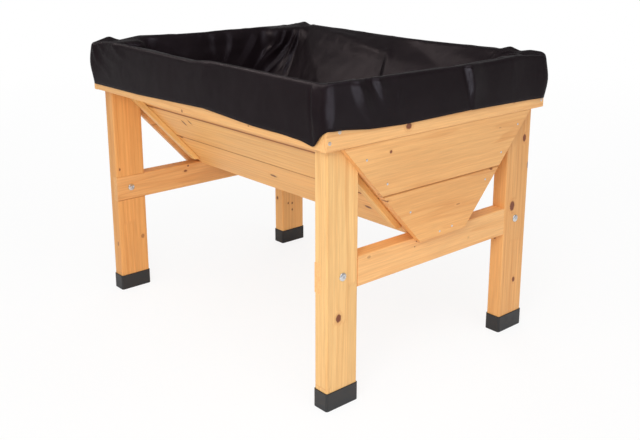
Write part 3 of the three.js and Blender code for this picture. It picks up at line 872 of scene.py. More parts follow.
class PLANTER_OT_fixings(bpy.types.Operator):
    """Finish the bolts and cap nuts, and drive the screws and nails."""

    bl_idname = "planter.fixings"
    bl_label = "Finish the Fixings"

    def execute(self, context):
        sizes = settings("fixing")
        zinc = zinc_material()
        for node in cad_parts:
            if node.endswith(("bolt", "cap_nut")):
                give(node, zinc)
        random = np.random.default_rng(11)
        kinds = (
            ("screw_heads", rim_screws, sizes.screw_radius, SCREW_CROWN, SCREW_CROSS),
            ("nail_heads", panel_nails, sizes.nail_radius, NAIL_CROWN, 0.0),
        )
        for side, end in (("right", 1), ("left", -1)):
            for name, places, radius, crown, recess in kinds:
                heads = [
                    head(place, end, radius, crown, recess, random.uniform(0, math.pi))
                    for place in places(end)
                ]
                piece = mesh_piece(f"{side}_{name}", *join_heads(heads), zinc, smooth=False)
                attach(piece, "root")
        return {"FINISHED"}


# ---- Liner ------------------------------------------------------------------------------------

SIDE_STEPS = 210  # points along a long side of the loop
END_STEPS = 155
CORNER_STEPS = 14
CROWDING = 0.055  # how much closer together the points lie near the corners
ROW_STEPS = (6, 5, 3, 3, 3, 3, 3, 2, 3, 4, 8, 6, 6)  # rows between one key row and the next
CREST_KEY = 4  # number of the key row that runs along the highest line
CALM_KEY = 7  # number of the key row below which the rise and fall of the crest has died away
BOTTOM_STEPS = 7

CREST_RISE = 0.006  # height of the highest line over the rim
BOARD_GAP = 0.0045  # from the side boards to the liner
BOTTOM_GAP = 0.0035  # from the floor board to the liner
WALL_FOOT = 0.006  # height over the floor board where the walls turn into the bottom
LEG_APPROACH = 0.07  # how far short of a leg the liner starts to rise to the leg's top
LEG_SHORT_Y = 0.004  # how far short of it the rise ends, on the ends and on the long sides
LEG_SHORT_X = 0.018
RIM_CORNER = 0.02  # rounding of the rim's corners where places round the rim are measured

# Height of the hem round the rim, as (place along the side, height) pairs.
HEM = {
    "front": (
        (-0.505, 0.635), (-0.246, 0.636), (0.058, 0.646), (0.259, 0.635), (0.375, 0.634),
        (0.431, 0.631), (0.472, 0.624), (0.486, 0.640),
    ),
    "right": (
        (-0.386, 0.664), (-0.332, 0.661), (-0.259, 0.652), (-0.154, 0.647), (0.076, 0.649),
        (0.368, 0.643),
    ),
    "back": ((0.500, 0.645), (0.30, 0.640), (0.02, 0.648), (-0.28, 0.636), (-0.49, 0.642)),
    "left": ((0.37, 0.646), (0.15, 0.636), (-0.12, 0.648), (-0.30, 0.640), (-0.375, 0.637)),
}

# Height of the liner's highest line round the rim, in the same way.
CREST = {
    "front": (
        (-0.494, 0.7525), (-0.44, 0.761), (-0.395, 0.765), (-0.245, 0.762), (0.009, 0.757),
        (0.092, 0.765), (0.265, 0.764), (0.43, 0.762), (0.500, 0.761),
    ),
    "right": (
        (-0.37, 0.764), (-0.152, 0.761), (0.066, 0.759), (0.162, 0.759), (0.257, 0.763),
        (0.330, 0.757), (0.374, 0.7535),
    ),
    "back": (
        (0.492, 0.761), (0.461, 0.762), (0.429, 0.756), (0.396, 0.765), (0.363, 0.755),
        (0.346, 0.757), (0.278, 0.755), (0.121, 0.753), (0.031, 0.7525), (-0.25, 0.756),
        (-0.413, 0.759), (-0.425, 0.756), (-0.456, 0.766), (-0.494, 0.757),
    ),
    "left": (
        (0.374, 0.754), (0.350, 0.752), (0.225, 0.754), (0.141, 0.7525), (0.047, 0.7525),
        (-0.10, 0.755), (-0.227, 0.761), (-0.297, 0.7525), (-0.324, 0.766), (-0.37, 0.7525),
    ),
}


def smooth_step(value, low, high):
    """0 below low, 1 above high, and the cubic 3t^2 - 2t^3 between them."""
    t = np.clip((value - low) / (high - low), 0.0, 1.0)
    return t * t * (3 - 2 * t)


def through(keys, steps):
    """Rows through the key rows by Catmull-Rom curves, with the given number of steps in each span."""
    keys = np.asarray(keys, float)
    padded = np.vstack([2 * keys[0] - keys[1], keys, 2 * keys[-1] - keys[-2]])
    spans = np.repeat(np.arange(len(steps)), steps)
    t = np.concatenate([np.arange(count) / count for count in steps])[:, None]
    before, start, stop, after = (padded[spans + shift] for shift in range(4))
    rows = 0.5 * (
        2 * start
        + (stop - before) * t
        + (2 * before - 5 * start + 4 * stop - after) * t**2
        + (3 * start - before - 3 * stop + after) * t**3
    )
    return np.vstack([rows, keys[-1]])


def liner_rows(look):
    """Rows of the liner from its hem, up the skirt, over the rim and down to the bottom.

    They run through key rows. Each holds the outward offset from the rim's outer planes and the
    height, first for the long sides, then for the corners, which lie over the leg tops, then for the
    middle of the ends, and last the corner radius. The long sides run from the rim straight to the
    slope of the side boards.
    """
    top, radius = RIM_TOP, look.radius

    def outside(offset, up, rounding):
        """Row with the same offset and height all round."""
        return [offset, up, offset, up, offset, up, rounding]

    def slope(up, corner, end, rounding):
        """Row whose long sides lie on the side boards."""
        wall = slope_width(up) - BOARD_GAP - RIM_Y
        return [wall, up, corner, up, end, up, rounding]

    keys = [
        outside(look.gap, top - look.drop, radius),
        outside(look.gap + 0.002, top - 0.06, radius),
        outside(look.gap + 0.001, top - 0.015, 0.95 * radius),
        outside(0.0035, top + 0.001, 0.9 * radius),
        outside(-0.002, top + CREST_RISE, 0.8 * radius),
        outside(-0.0100, top + 0.0035, 0.7 * radius),
        outside(-0.0190, top + 0.0012, 0.7 * radius),
        [-0.0272, top - 0.012, -0.040, top - 0.0012, -0.026, top - 0.018, 0.016],
        [-0.0393, top - 0.030, -0.060, top - 0.0030, -0.030, top - 0.038, 0.022],
        [-0.0527, top - 0.050, -0.0662, top - 0.045, -0.0345, top - 0.056, 0.030],
        [-0.0763, top - 0.085, -0.0672, top - 0.085, -0.040, top - 0.085, 0.040],
        slope(top - 0.160, -0.0675, -0.056, 0.052),
        slope(top - 0.250, -0.0675, -0.0655, 0.050),
        slope(FLOOR_TOP + WALL_FOOT, -0.0675, -0.0675, 0.034),
    ]
    return through(keys, ROW_STEPS)


def liner_loop():
    """Unit loop of a rounded rectangle, from the left end of the front side round by the right.

    Each point is (straight x, straight y, round x, round y): the place is the straight part times
    the half size less the radius, plus the round part times the radius. Points crowd towards the
    corners, by taking a small sine wave off an even spacing.
    """

    def spread(steps):
        """Places from -1 to 1 along a side."""
        even = np.arange(steps) / steps
        return 2 * (even - CROWDING * np.sin(2 * math.pi * even)) - 1

    def run(x, y, round_x, round_y):
        """Stretch of the loop, where a part that doesn't change is one number."""
        return np.stack(np.broadcast_arrays(x, y, round_x, round_y), axis=-1).astype(float)

    quarter = np.arange(CORNER_STEPS) / CORNER_STEPS * (math.pi / 2)
    side, end = spread(SIDE_STEPS), spread(END_STEPS)
    return np.concatenate([
        run(side, -1, 0, -1),
        run(1, -1, np.sin(quarter), -np.cos(quarter)),
        run(1, end, 1, 0),
        run(1, 1, np.cos(quarter), np.sin(quarter)),
        run(-side, 1, 0, 1),
        run(-1, 1, -np.sin(quarter), np.cos(quarter)),
        run(-1, -end, -1, 0),
        run(-1, -1, -np.cos(quarter), -np.sin(quarter)),
    ])


def round_the_rim(loop, heights):
    """Heights round the loop from each side's (place, height) pairs, softened over the corners.

    The places run along X on the front and back and along Y on the ends. They are joined in order
    round the rim's own length, and smoothed by a running weighted mean.
    """
    side_length, end_length = 2 * RIM_X, 2 * RIM_Y
    total = 2 * (side_length + end_length)
    x = loop[:, 0] * (RIM_X - RIM_CORNER) + loop[:, 2] * RIM_CORNER
    y = loop[:, 1] * (RIM_Y - RIM_CORNER) + loop[:, 3] * RIM_CORNER

    def along(x, y, side):
        """Distance round the rim from its front left corner, first along the front."""
        return {
            "front": x + RIM_X,
            "right": side_length + y + RIM_Y,
            "back": side_length + end_length + RIM_X - x,
            "left": 2 * side_length + end_length + RIM_Y - y,
        }[side]

    on_front = (loop[:, 3] < 0) & (-loop[:, 3] >= np.abs(loop[:, 2]))
    on_back = (loop[:, 3] > 0) & (loop[:, 3] >= np.abs(loop[:, 2]))
    on_right = (loop[:, 2] > 0) & ~on_front & ~on_back
    places = np.select(
        [on_front, on_right, on_back],
        [along(x, y, "front"), along(x, y, "right"), along(x, y, "back")],
        along(x, y, "left"),
    )
    marks = [(along(at, at, side), up) for side, pairs in heights.items() for at, up in pairs]
    marks = np.array(sorted(marks))
    spacing, half_window = 0.002, 6
    fine = np.arange(0.0, total, spacing)
    up = np.interp(fine, marks[:, 0], marks[:, 1], period=total)
    window = np.hanning(2 * half_window + 1)
    padded = np.pad(up, half_window, mode="wrap")
    up = np.convolve(padded, window / window.sum(), mode="valid")
    return np.interp(places, fine, up, period=total)


def to_path(points, path):
    """Distance of each point in a plane to a path, with the side it lies on and how far along it is."""
    path = np.asarray(path, float)
    best = np.full(points.shape[:-1], np.inf)
    side = np.zeros_like(best)
    way = np.zeros_like(best)
    lengths = np.linalg.norm(np.diff(path, axis=0), axis=1)
    before = np.concatenate([[0.0], np.cumsum(lengths)])
    for number, (start, stop) in enumerate(zip(path[:-1], path[1:])):
        step = stop - start
        offset = points - start
        t = np.clip((offset @ step) / (step @ step), 0.0, 1.0)
        distance = np.linalg.norm(offset - t[..., None] * step, axis=-1)
        nearer = distance < best
        best = np.where(nearer, distance, best)
        side = np.where(nearer, np.sign(step[0] * offset[..., 1] - step[1] * offset[..., 0]), side)
        way = np.where(nearer, (before[number] + t * lengths[number]) / before[-1], way)
    return best, side, way


def fold(points, path, height, greater, lesser):
    """Height of a fold along a path that runs down a wall: a tent with a slightly rounded foot.

    With s falling evenly from 1 on the path to 0 at the foot, the tent is 1.15 s^2 / (s + 0.15). The
    foot lies one distance away on the side of greater place along the wall and another on the side of
    lesser place. The fold rises over its first eighth, and from a quarter of its length on it sinks
    to a fifth of its height.
    """
    distance, side, way = to_path(points, path)
    s = np.clip(1 - distance / np.where(side > 0, greater, lesser), 0.0, 1.0)
    ends = smooth_step(way, -0.02, 0.12) * (1 - 0.8 * smooth_step(way, 0.25, 1.0))
    return height * ends * 1.15 * s * s / (s + 0.15)


def facets(place, up, creases):
    """Height of cloth that runs flat between creases down a wall.

    Each crease is a path of (place along the wall, height above the floor, distance off the wall).
    At every height the creases are lined up from the least place to the greatest, and the distance
    off the wall changes evenly from each one to the next.
    """
    least_gap = 0.004
    total, before = 0.0, None
    for crease in creases:
        path = np.array(crease)[::-1]
        at = np.interp(up, path[:, 1], path[:, 0])
        off = np.interp(up, path[:, 1], path[:, 2])
        if before is None:
            total = off
        else:
            way = np.clip((place - before[0]) / np.maximum(at - before[0], least_gap), 0.0, 1.0)
            total = total + (off - before[1]) * way
        before = (at, off)
    return total


def crumple(points, seed, longest, shortest):
    """Soft wrinkles: a sum of plane waves of random direction and phase, each bent by the one before,
    whose height falls with its length. It runs from -1 to 1."""
    waves = 16
    random = np.random.default_rng(seed)
    total = np.zeros(points.shape[:-1])
    wave = np.zeros_like(total)
    squares = 0.0
    for number in range(waves):
        span = longest * (shortest / longest) ** (number / (waves - 1))
        heading = random.uniform(0, 2 * math.pi)
        phase = random.uniform(0, 2 * math.pi)
        way = np.array([math.cos(heading), math.sin(heading)]) * (2 * math.pi / span)
        wave = np.sin(points @ way + phase + 0.9 * wave)
        weight = (span / longest) ** 0.8
        total += weight * wave
        squares += weight**2
    return np.tanh(total / math.sqrt(2 * squares))


def liner_base(look):
    """Points of the smooth liner on its grid of rows and loop points, before any fold.

    A row is a rounded rectangle whose half sizes are the rim's plus the row's offsets. Over the
    corners a row takes the corner's offset and height, and the middles of the ends move out to
    their own. The skirt is stretched between the hem and the crest, and the rise of the crest dies
    away below the rim. The last rows draw in to a line along the trough's bottom.
    """
    rows, loop = liner_rows(look), liner_loop()
    side_off, side_up, corner_off, corner_up, end_off, end_up, radius = rows.T[:, :, None]
    straight_x, straight_y, round_x, round_y = loop.T[:, None, :]
    x = straight_x * (RIM_X + corner_off - radius) + round_x * radius
    y = straight_y * (RIM_Y + side_off - radius) + round_y * radius
    over_leg_y = smooth_step(np.abs(y), LEG_INNER_Y - LEG_APPROACH, LEG_INNER_Y - LEG_SHORT_Y)
    over_leg_x = smooth_step(np.abs(x), LEG_INNER_X - LEG_APPROACH, LEG_INNER_X - LEG_SHORT_X)
    on_end, on_side = np.abs(round_x) == 1, np.abs(round_y) == 1
    corner = np.where(on_end, over_leg_y, np.where(on_side, over_leg_x, 1.0))
    x = x + round_x * (end_off - corner_off) * (1 - over_leg_y)
    up = corner_up * corner + np.where(on_end, end_up, side_up) * (1 - corner)

    hem, crest = round_the_rim(loop, HEM), round_the_rim(loop, CREST)
    lowest, highest = RIM_TOP - look.drop, RIM_TOP + CREST_RISE
    crest_row, calm_row = sum(ROW_STEPS[:CREST_KEY]), sum(ROW_STEPS[:CALM_KEY])
    row = np.arange(len(rows))[:, None]
    rise = np.clip((up - lowest) / (highest - lowest), 0.0, 1.0)
    skirt = hem + rise * (crest - hem)
    fading = (crest - highest) * (1 - smooth_step(row, crest_row, calm_row))
    up = np.where(row <= crest_row, skirt, up + fading)

    left = 1 - np.arange(1, BOTTOM_STEPS + 1)[:, None] / BOTTOM_STEPS
    last_radius, last_y = radius[-1] * left, (RIM_Y + side_off[-1]) * left
    last_x = RIM_X + corner_off[-1] - (RIM_Y + side_off[-1]) * (1 - left)
    bottom_x = straight_x * (last_x - last_radius) + round_x * last_radius
    bottom_y = straight_y * (last_y - last_radius) + round_y * last_radius
    bottom_up = np.full_like(bottom_x, FLOOR_TOP + BOTTOM_GAP) + (WALL_FOOT - BOTTOM_GAP) * left
    points = np.stack([x, y, up], axis=-1)
    bottom = np.stack([bottom_x, bottom_y, bottom_up], axis=-1)
    return np.concatenate([points, bottom]), loop


def grid_normals(points):
    """Unit normals of a grid that closes along its second axis: the cross product of its differences."""
    around = np.roll(points, -1, axis=1) - np.roll(points, 1, axis=1)
    along = np.gradient(points, axis=0)
    normal = np.cross(around, along)
    size = np.linalg.norm(normal, axis=-1, keepdims=True)
    return normal / np.maximum(size, 1e-9)


# Folds of the inside: the wall, the path as (place along the wall, height), the depth as a share of
# the fold depth, and the distance to the foot on the greater and on the lesser side.
INSIDE_FOLDS = (
    ("left", ((0.238, 0.748), (0.240, 0.698), (0.198, 0.658), (0.150, 0.610)), 0.6, 0.026, 0.010),
    ("left", ((0.290, 0.748), (0.268, 0.706), (0.228, 0.668), (0.180, 0.625)), 0.4, 0.020, 0.009),
    ("left", ((0.361, 0.744), (0.340, 0.710), (0.304, 0.678), (0.268, 0.640),
              (0.208, 0.588)), 0.5, 0.012, 0.008),
    ("left", ((0.351, 0.745), (0.320, 0.706), (0.276, 0.675), (0.244, 0.637), (0.193, 0.595),
              (0.140, 0.545)), 0.9, 0.026, 0.012),
    ("left", ((0.371, 0.740), (0.361, 0.712), (0.330, 0.679), (0.290, 0.637), (0.219, 0.581),
              (0.150, 0.525)), 1.0, 0.026, 0.012),
    ("left", ((0.382, 0.725), (0.343, 0.657), (0.277, 0.610), (0.245, 0.573),
              (0.180, 0.510)), 0.9, 0.026, 0.012),
    ("left", ((0.200, 0.735), (0.160, 0.687), (0.120, 0.651), (0.080, 0.600)), 0.5, 0.044, 0.026),
    ("left", ((0.020, 0.750), (0.020, 0.687), (0.031, 0.652), (0.040, 0.600)), 0.4, 0.050, 0.014),
    ("left", ((0.092, 0.748), (0.083, 0.704), (0.055, 0.659), (0.040, 0.620)), 0.4, 0.050, 0.018),
    ("left", ((-0.205, 0.756), (-0.128, 0.707), (-0.086, 0.680), (-0.040, 0.640)), 0.4, 0.030, 0.060),
    ("left", ((-0.330, 0.748), (-0.280, 0.690), (-0.220, 0.620), (-0.140, 0.530)), 0.8, 0.018, 0.040),
    ("left", ((-0.365, 0.745), (-0.335, 0.680), (-0.290, 0.600)), 0.8, 0.016, 0.030),
    ("back", ((-0.455, 0.745), (-0.430, 0.670), (-0.395, 0.560), (-0.370, 0.480)), 0.7, 0.020, 0.034),
    ("back", ((-0.009, 0.720), (0.020, 0.686), (0.023, 0.650), (0.029, 0.610)), 0.25, 0.012, 0.040),
    ("back", ((0.379, 0.757), (0.376, 0.728), (0.350, 0.660), (0.300, 0.590)), 0.7, 0.030, 0.014),
    ("back", ((0.412, 0.756), (0.402, 0.728), (0.380, 0.680)), 0.6, 0.016, 0.010),
    ("back", ((0.446, 0.752), (0.436, 0.715), (0.415, 0.640)), 0.7, 0.018, 0.012),
    ("right", ((0.352, 0.747), (0.330, 0.700), (0.300, 0.610), (0.250, 0.520)), 0.9, 0.016, 0.036),
    ("right", ((0.250, 0.754), (0.200, 0.690), (0.150, 0.600)), 0.6, 0.018, 0.050),
    ("right", ((-0.010, 0.757), (-0.020, 0.690), (0.000, 0.600)), 0.4, 0.014, 0.056),
    ("right", ((-0.340, 0.748), (-0.300, 0.670), (-0.230, 0.580), (-0.150, 0.500)), 0.9, 0.016, 0.036),
    ("right", ((-0.230, 0.756), (-0.190, 0.690), (-0.160, 0.620)), 0.5, 0.018, 0.050),
    ("front", ((0.440, 0.745), (0.400, 0.660), (0.340, 0.560), (0.290, 0.480)), 0.8, 0.018, 0.044),
    ("front", ((-0.380, 0.750), (-0.330, 0.670), (-0.260, 0.580), (-0.180, 0.500)), 0.8, 0.048, 0.018),
    ("front", ((-0.440, 0.745), (-0.425, 0.650), (-0.400, 0.540)), 0.8, 0.036, 0.016),
)

# Creases of the inside with flat cloth between them: the wall, and each crease as a path of (place
# along the wall, height, distance off the wall).
INSIDE_CREASES = {
    "back": (
        ((-0.475, 0.760, 0.0), (-0.470, 0.400, 0.0)),
        ((-0.400, 0.756, 0.003), (-0.366, 0.711, 0.017), (-0.276, 0.646, 0.032), (-0.202, 0.590, 0.038),
         (-0.120, 0.500, 0.024), (-0.080, 0.420, 0.002)),
        ((-0.390, 0.757, 0.002), (-0.220, 0.736, 0.021), (-0.060, 0.706, 0.028), (0.004, 0.685, 0.020),
         (0.014, 0.640, 0.018), (0.020, 0.500, 0.008), (0.020, 0.420, 0.0)),
        ((0.012, 0.751, 0.0), (0.022, 0.687, 0.024), (0.036, 0.631, 0.034), (0.050, 0.500, 0.012),
         (0.050, 0.420, 0.0)),
        ((0.030, 0.751, 0.0), (0.126, 0.724, 0.000), (0.225, 0.687, 0.002), (0.280, 0.630, 0.012),
         (0.290, 0.520, 0.008), (0.290, 0.420, 0.0)),
        ((0.312, 0.757, 0.0), (0.310, 0.723, 0.008), (0.310, 0.690, 0.012), (0.310, 0.630, 0.016),
         (0.320, 0.520, 0.008), (0.320, 0.420, 0.0)),
        ((0.350, 0.757, 0.001), (0.345, 0.700, 0.012), (0.345, 0.620, 0.016), (0.345, 0.500, 0.006),
         (0.345, 0.420, 0.0)),
        ((0.470, 0.760, 0.0), (0.465, 0.400, 0.0)),
    ),
    "left": (
        ((-0.370, 0.757, 0.0), (-0.300, 0.500, 0.0)),
        ((-0.190, 0.757, 0.002), (-0.110, 0.690, 0.006), (-0.080, 0.600, 0.008), (-0.060, 0.450, 0.0)),
        ((-0.010, 0.757, 0.0), (0.010, 0.690, 0.001), (0.020, 0.600, 0.002), (0.020, 0.450, 0.0)),
        ((0.080, 0.757, 0.002), (0.084, 0.690, 0.006), (0.080, 0.600, 0.008), (0.080, 0.450, 0.0)),
        ((0.230, 0.757, 0.0), (0.180, 0.690, 0.001), (0.150, 0.600, 0.002), (0.120, 0.450, 0.0)),
        ((0.372, 0.757, 0.0), (0.300, 0.500, 0.0)),
    ),
    "right": (
        ((-0.370, 0.757, 0.0), (-0.300, 0.500, 0.0)),
        ((-0.120, 0.757, 0.003), (-0.090, 0.690, 0.012), (-0.060, 0.600, 0.014), (-0.030, 0.450, 0.0)),
        ((0.030, 0.757, 0.0), (0.040, 0.690, 0.002), (0.050, 0.600, 0.003), (0.040, 0.450, 0.0)),
        ((0.160, 0.757, 0.003), (0.150, 0.690, 0.011), (0.130, 0.600, 0.012), (0.100, 0.450, 0.0)),
        ((0.370, 0.757, 0.0), (0.300, 0.500, 0.0)),
    ),
    "front": (
        ((-0.470, 0.757, 0.0), (-0.465, 0.400, 0.0)),
        ((-0.240, 0.757, 0.003), (-0.200, 0.690, 0.013), (-0.150, 0.600, 0.018), (-0.100, 0.450, 0.002)),
        ((-0.020, 0.757, 0.0), (-0.030, 0.690, 0.002), (-0.030, 0.600, 0.003), (-0.020, 0.450, 0.0)),
        ((0.180, 0.757, 0.003), (0.150, 0.690, 0.012), (0.110, 0.600, 0.017), (0.090, 0.450, 0.002)),
        ((0.330, 0.757, 0.0), (0.300, 0.690, 0.003), (0.280, 0.600, 0.004), (0.260, 0.450, 0.0)),
        ((0.470, 0.757, 0.0), (0.465, 0.400, 0.0)),
    ),
}

# Folds of the skirt, as those of the inside. A depth below nought is a furrow.
SKIRT_FOLDS = (
    ("right", ((-0.258, 0.762), (-0.248, 0.739), (-0.236, 0.722)), -0.18, 0.008, 0.008),
    ("right", ((-0.244, 0.762), (-0.231, 0.737), (-0.209, 0.700)), 0.50, 0.028, 0.009),
    ("right", ((-0.305, 0.762), (-0.285, 0.721), (-0.251, 0.670)), 0.70, 0.028, 0.018),
    ("right", ((-0.171, 0.730), (-0.174, 0.705), (-0.177, 0.680)), 0.12, 0.014, 0.006),
    ("right", ((0.043, 0.762), (0.061, 0.717), (0.070, 0.679), (0.078, 0.648)), -0.20, 0.007, 0.009),
    ("right", ((0.056, 0.762), (0.075, 0.711), (0.081, 0.674), (0.087, 0.648)), 0.75, 0.060, 0.010),
    ("right", ((-0.396, 0.760), (-0.390, 0.722), (-0.384, 0.680)), 0.35, 0.012, 0.010),
    ("right", ((0.240, 0.764), (0.230, 0.720), (0.236, 0.660)), 0.16, 0.050, 0.080),
    ("front", ((0.462, 0.757), (0.468, 0.693), (0.470, 0.628)), -0.15, 0.007, 0.007),
    ("front", ((0.474, 0.757), (0.479, 0.693), (0.481, 0.622)), 0.35, 0.018, 0.009),
    ("front", ((-0.496, 0.756), (-0.470, 0.712), (-0.405, 0.672)), 0.30, 0.014, 0.010),
    ("front", ((-0.470, 0.762), (-0.425, 0.727), (-0.340, 0.700)), 0.26, 0.016, 0.012),
    ("front", ((-0.385, 0.766), (-0.345, 0.735), (-0.270, 0.715)), 0.20, 0.014, 0.012),
    ("front", ((-0.400, 0.766), (-0.360, 0.720), (-0.340, 0.660)), 0.16, 0.060, 0.080),
    ("front", ((0.080, 0.766), (0.060, 0.720), (0.056, 0.650)), 0.14, 0.080, 0.100),
    ("back", ((0.396, 0.766), (0.390, 0.720), (0.396, 0.660)), 0.50, 0.014, 0.040),
    ("back", ((0.280, 0.758), (0.270, 0.720), (0.284, 0.660)), 0.25, 0.024, 0.060),
    ("back", ((-0.050, 0.756), (-0.030, 0.710), (-0.036, 0.650)), 0.30, 0.020, 0.060),
    ("back", ((-0.420, 0.762), (-0.400, 0.710), (-0.410, 0.650)), 0.45, 0.016, 0.044),
    ("left", ((-0.324, 0.766), (-0.310, 0.710), (-0.316, 0.650)), 0.60, 0.016, 0.040),
    ("left", ((-0.100, 0.757), (-0.120, 0.710), (-0.110, 0.650)), 0.30, 0.020, 0.056),
    ("left", ((0.180, 0.756), (0.160, 0.710), (0.172, 0.650)), 0.35, 0.020, 0.050),
    ("left", ((0.330, 0.757), (0.336, 0.710), (0.326, 0.650)), 0.40, 0.016, 0.040),
)

SKIRT_WRINKLES = 0.55  # depth of the wrinkles on the skirt and inside, in wrinkle depths
INSIDE_WRINKLES = 1.8
CORNER_SLANT = 1.41  # a bulge's depth is along X and along Y, and on the slant it is this much more

# Bulges where the skirt stands away from a corner: centre, radius and depth.
SKIRT_BULGES = (
    ((0.515, 0.385, 0.690), 0.050, 0.006),
    ((-0.515, -0.385, 0.700), 0.045, 0.005),
    ((-0.515, 0.385, 0.690), 0.055, 0.007),
    ((0.515, -0.385, 0.690), 0.040, 0.004),
)


def wall_columns(loop, wall):
    """Columns of the grid that face a wall, and their weights, which fade round the corners."""
    toward = {"front": -loop[:, 3], "back": loop[:, 3], "right": loop[:, 2], "left": -loop[:, 2]}[wall]
    least, full = 0.15, 0.6
    columns = toward > least
    return columns, smooth_step(toward[columns], least, full)


def wall_folds(points, loop, folds, depth):
    """Sum of the folds of each wall, measured on the wall's own plane."""
    total = np.zeros(points.shape[:-1])
    for wall, path, height, greater, lesser in folds:
        columns, weight = wall_columns(loop, wall)
        plane = points[..., (0, 2)] if wall in ("front", "back") else points[..., (1, 2)]
        total[:, columns] += weight * fold(plane[:, columns], path, height * depth, greater, lesser)
    return total


def wall_facets(points, loop):
    """The flat stretches between the creases of each inside wall."""
    total = np.zeros(points.shape[:-1])
    for wall, creases in INSIDE_CREASES.items():
        columns, weight = wall_columns(loop, wall)
        place = points[..., 0 if wall in ("front", "back") else 1]
        total[:, columns] += weight * facets(place[:, columns], points[:, columns, 2], creases)
    return total


def liner_wrinkles(base):
    """Soft wrinkles all over the liner, from 0 to 1.25: broad ones and a quarter as much of fine ones,
    on a slanting plane so that they run on round the corners."""
    slanting = np.stack([base[..., 0] + 0.7 * base[..., 1], base[..., 2] + 0.4 * base[..., 1]], axis=-1)
    broad = 0.5 + 0.5 * crumple(slanting, seed=3, longest=0.42, shortest=0.05)
    fine = 0.5 + 0.5 * crumple(slanting * np.array([1.0, 0.6]), seed=8, longest=0.09, shortest=0.02)
    return broad + 0.25 * fine


def liner_surface(look):
    """Points of the finished liner, and the place of each on the cloth laid flat.

    The smooth liner is moved along its normals by wrinkles, by the folds of each wall, by the flat
    stretches of the inside and by bulges, each a bell curve round its centre. All of them lift the
    skirt outward and the inside away from the boards, apart from the skirt's shallow furrows.
    """
    base, loop = liner_base(look)
    row = np.arange(len(base))[:, None]
    crest_row = sum(ROW_STEPS[:CREST_KEY])
    floor_row = len(base) - BOTTOM_STEPS - 1
    outside = 1 - smooth_step(row, crest_row - 3, crest_row + 1)
    above_floor = 1 - smooth_step(row, floor_row - 6, floor_row)
    inside = smooth_step(row, crest_row, crest_row + 6) * above_floor

    moved = look.wrinkle * liner_wrinkles(base) * (SKIRT_WRINKLES * outside + INSIDE_WRINKLES * inside)
    moved = moved + outside * wall_folds(base, loop, SKIRT_FOLDS, look.fold)
    moved = moved + inside * wall_folds(base, loop, INSIDE_FOLDS, look.fold)
    moved = moved + inside * wall_facets(base, loop)
    for centre, radius, depth in SKIRT_BULGES:
        distance = np.linalg.norm(base - np.array(centre), axis=-1)
        moved = moved + outside * CORNER_SLANT * depth * np.exp(-((distance / radius) ** 2))

    across = np.cumsum(np.linalg.norm(np.roll(base, -1, axis=1) - base, axis=-1)[crest_row])
    down = np.cumsum(np.linalg.norm(np.diff(base, axis=0, prepend=base[:1]), axis=-1), axis=0)
    flat = np.stack([np.broadcast_to(across, down.shape), down], axis=-1)
    return base + grid_normals(base) * moved[..., None], flat


def cloth_material():
    """Black woven fabric: a weave on the cloth's own map, soft creases, a dull gloss and faint dust.

    The weave's height is the sine of the place across times the sine of the place along, with one
    wave for each thread.
    """
    look = settings("liner")
    made, make, shader = material("woven liner fabric")
    cloth = make.add("ShaderNodeTexCoord").outputs["UV"]
    place = make.add("ShaderNodeTexCoord").outputs["Object"]
    turns = make.vector("SCALE", cloth, scale=2 * math.pi / look.thread)
    threads = make.add("ShaderNodeSeparateXYZ", {0: turns}).outputs
    weave = make.math("MULTIPLY", make.math("SINE", threads["X"]), make.math("SINE", threads["Y"]))
    smudge = place_group(make, effect("Smudges"), {"Vector": place, "Scale": 9.0})["Mask"]
    dust = tuple(1.5 * part + 0.001 for part in look.cloth)
    tint = make.mix(make.math("MULTIPLY", smudge, 0.5), with_alpha(look.cloth), with_alpha(dust))
    make.feed(shader.inputs["Base Color"], tint)
    make.feed(shader.inputs["Roughness"], make.ramp(smudge, 0.0, 1.0, 0.36, 0.44))
    shader.inputs["Specular IOR Level"].default_value = look.gloss
    shader.inputs["Specular Tint"].default_value = (0.95, 0.84, 0.86, 1.0)
    creased = make.noise(place, 26.0, 3.0, 0.5)
    soft = make.bump(creased, 0.003, 0.25)
    make.feed(shader.inputs["Normal"], make.bump(weave, 0.0002, 0.3, soft))
    return made


def lay_cloth_map(mesh, faces, flat):
    """UV map of the liner in metres of cloth: round the crest across, and from the hem down along.

    A face that closes the loop has its two right-hand corners one whole turn further on.
    """
    columns = flat.shape[1]
    closing = (faces[:, 1] % columns == 0)[:, None] * np.array([0, 1, 1, 0])
    step = flat[0, -1, 0] / columns
    across = (faces % columns + columns * closing) * step
    along = flat[..., 1].reshape(-1)[faces]
    cloth_map = mesh.uv_layers.new(name="Cloth")
    places = np.stack([across, along], axis=-1).reshape(-1).astype(np.float32)
    cloth_map.data.foreach_set("uv", places)


def close_bottom(mesh):
    """Merges the points of the last row that meet on the bottom's middle line, and drops faces without
    area."""
    work = bmesh.new()
    work.from_mesh(mesh)
    bmesh.ops.remove_doubles(work, verts=work.verts, dist=1e-5)
    bmesh.ops.dissolve_degenerate(work, edges=work.edges, dist=1e-6)
    work.to_mesh(mesh)
    work.free()


class PLANTER_OT_liner(bpy.types.Operator):
    """Hang the fabric liner over the rim and down to the bottom of the trough."""

    bl_idname = "planter.liner"
    bl_label = "Hang the Liner"

    def execute(self, context):
        look = settings("liner")
        points, flat = liner_surface(look)
        faces = grid_faces(*points.shape[:2])
        piece = mesh_piece("fabric_liner", points.reshape(-1, 3), faces.tolist(), cloth_material())
        lay_cloth_map(piece.data, faces, flat)
        close_bottom(piece.data)

        thick = piece.modifiers.new("Thickness", "SOLIDIFY")
        thick.thickness = look.thickness
        thick.offset = -1.0
        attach(piece, "root")
        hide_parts("liner")
        return {"FINISHED"}


# ---- Stage ------------------------------------------------------------------------------------


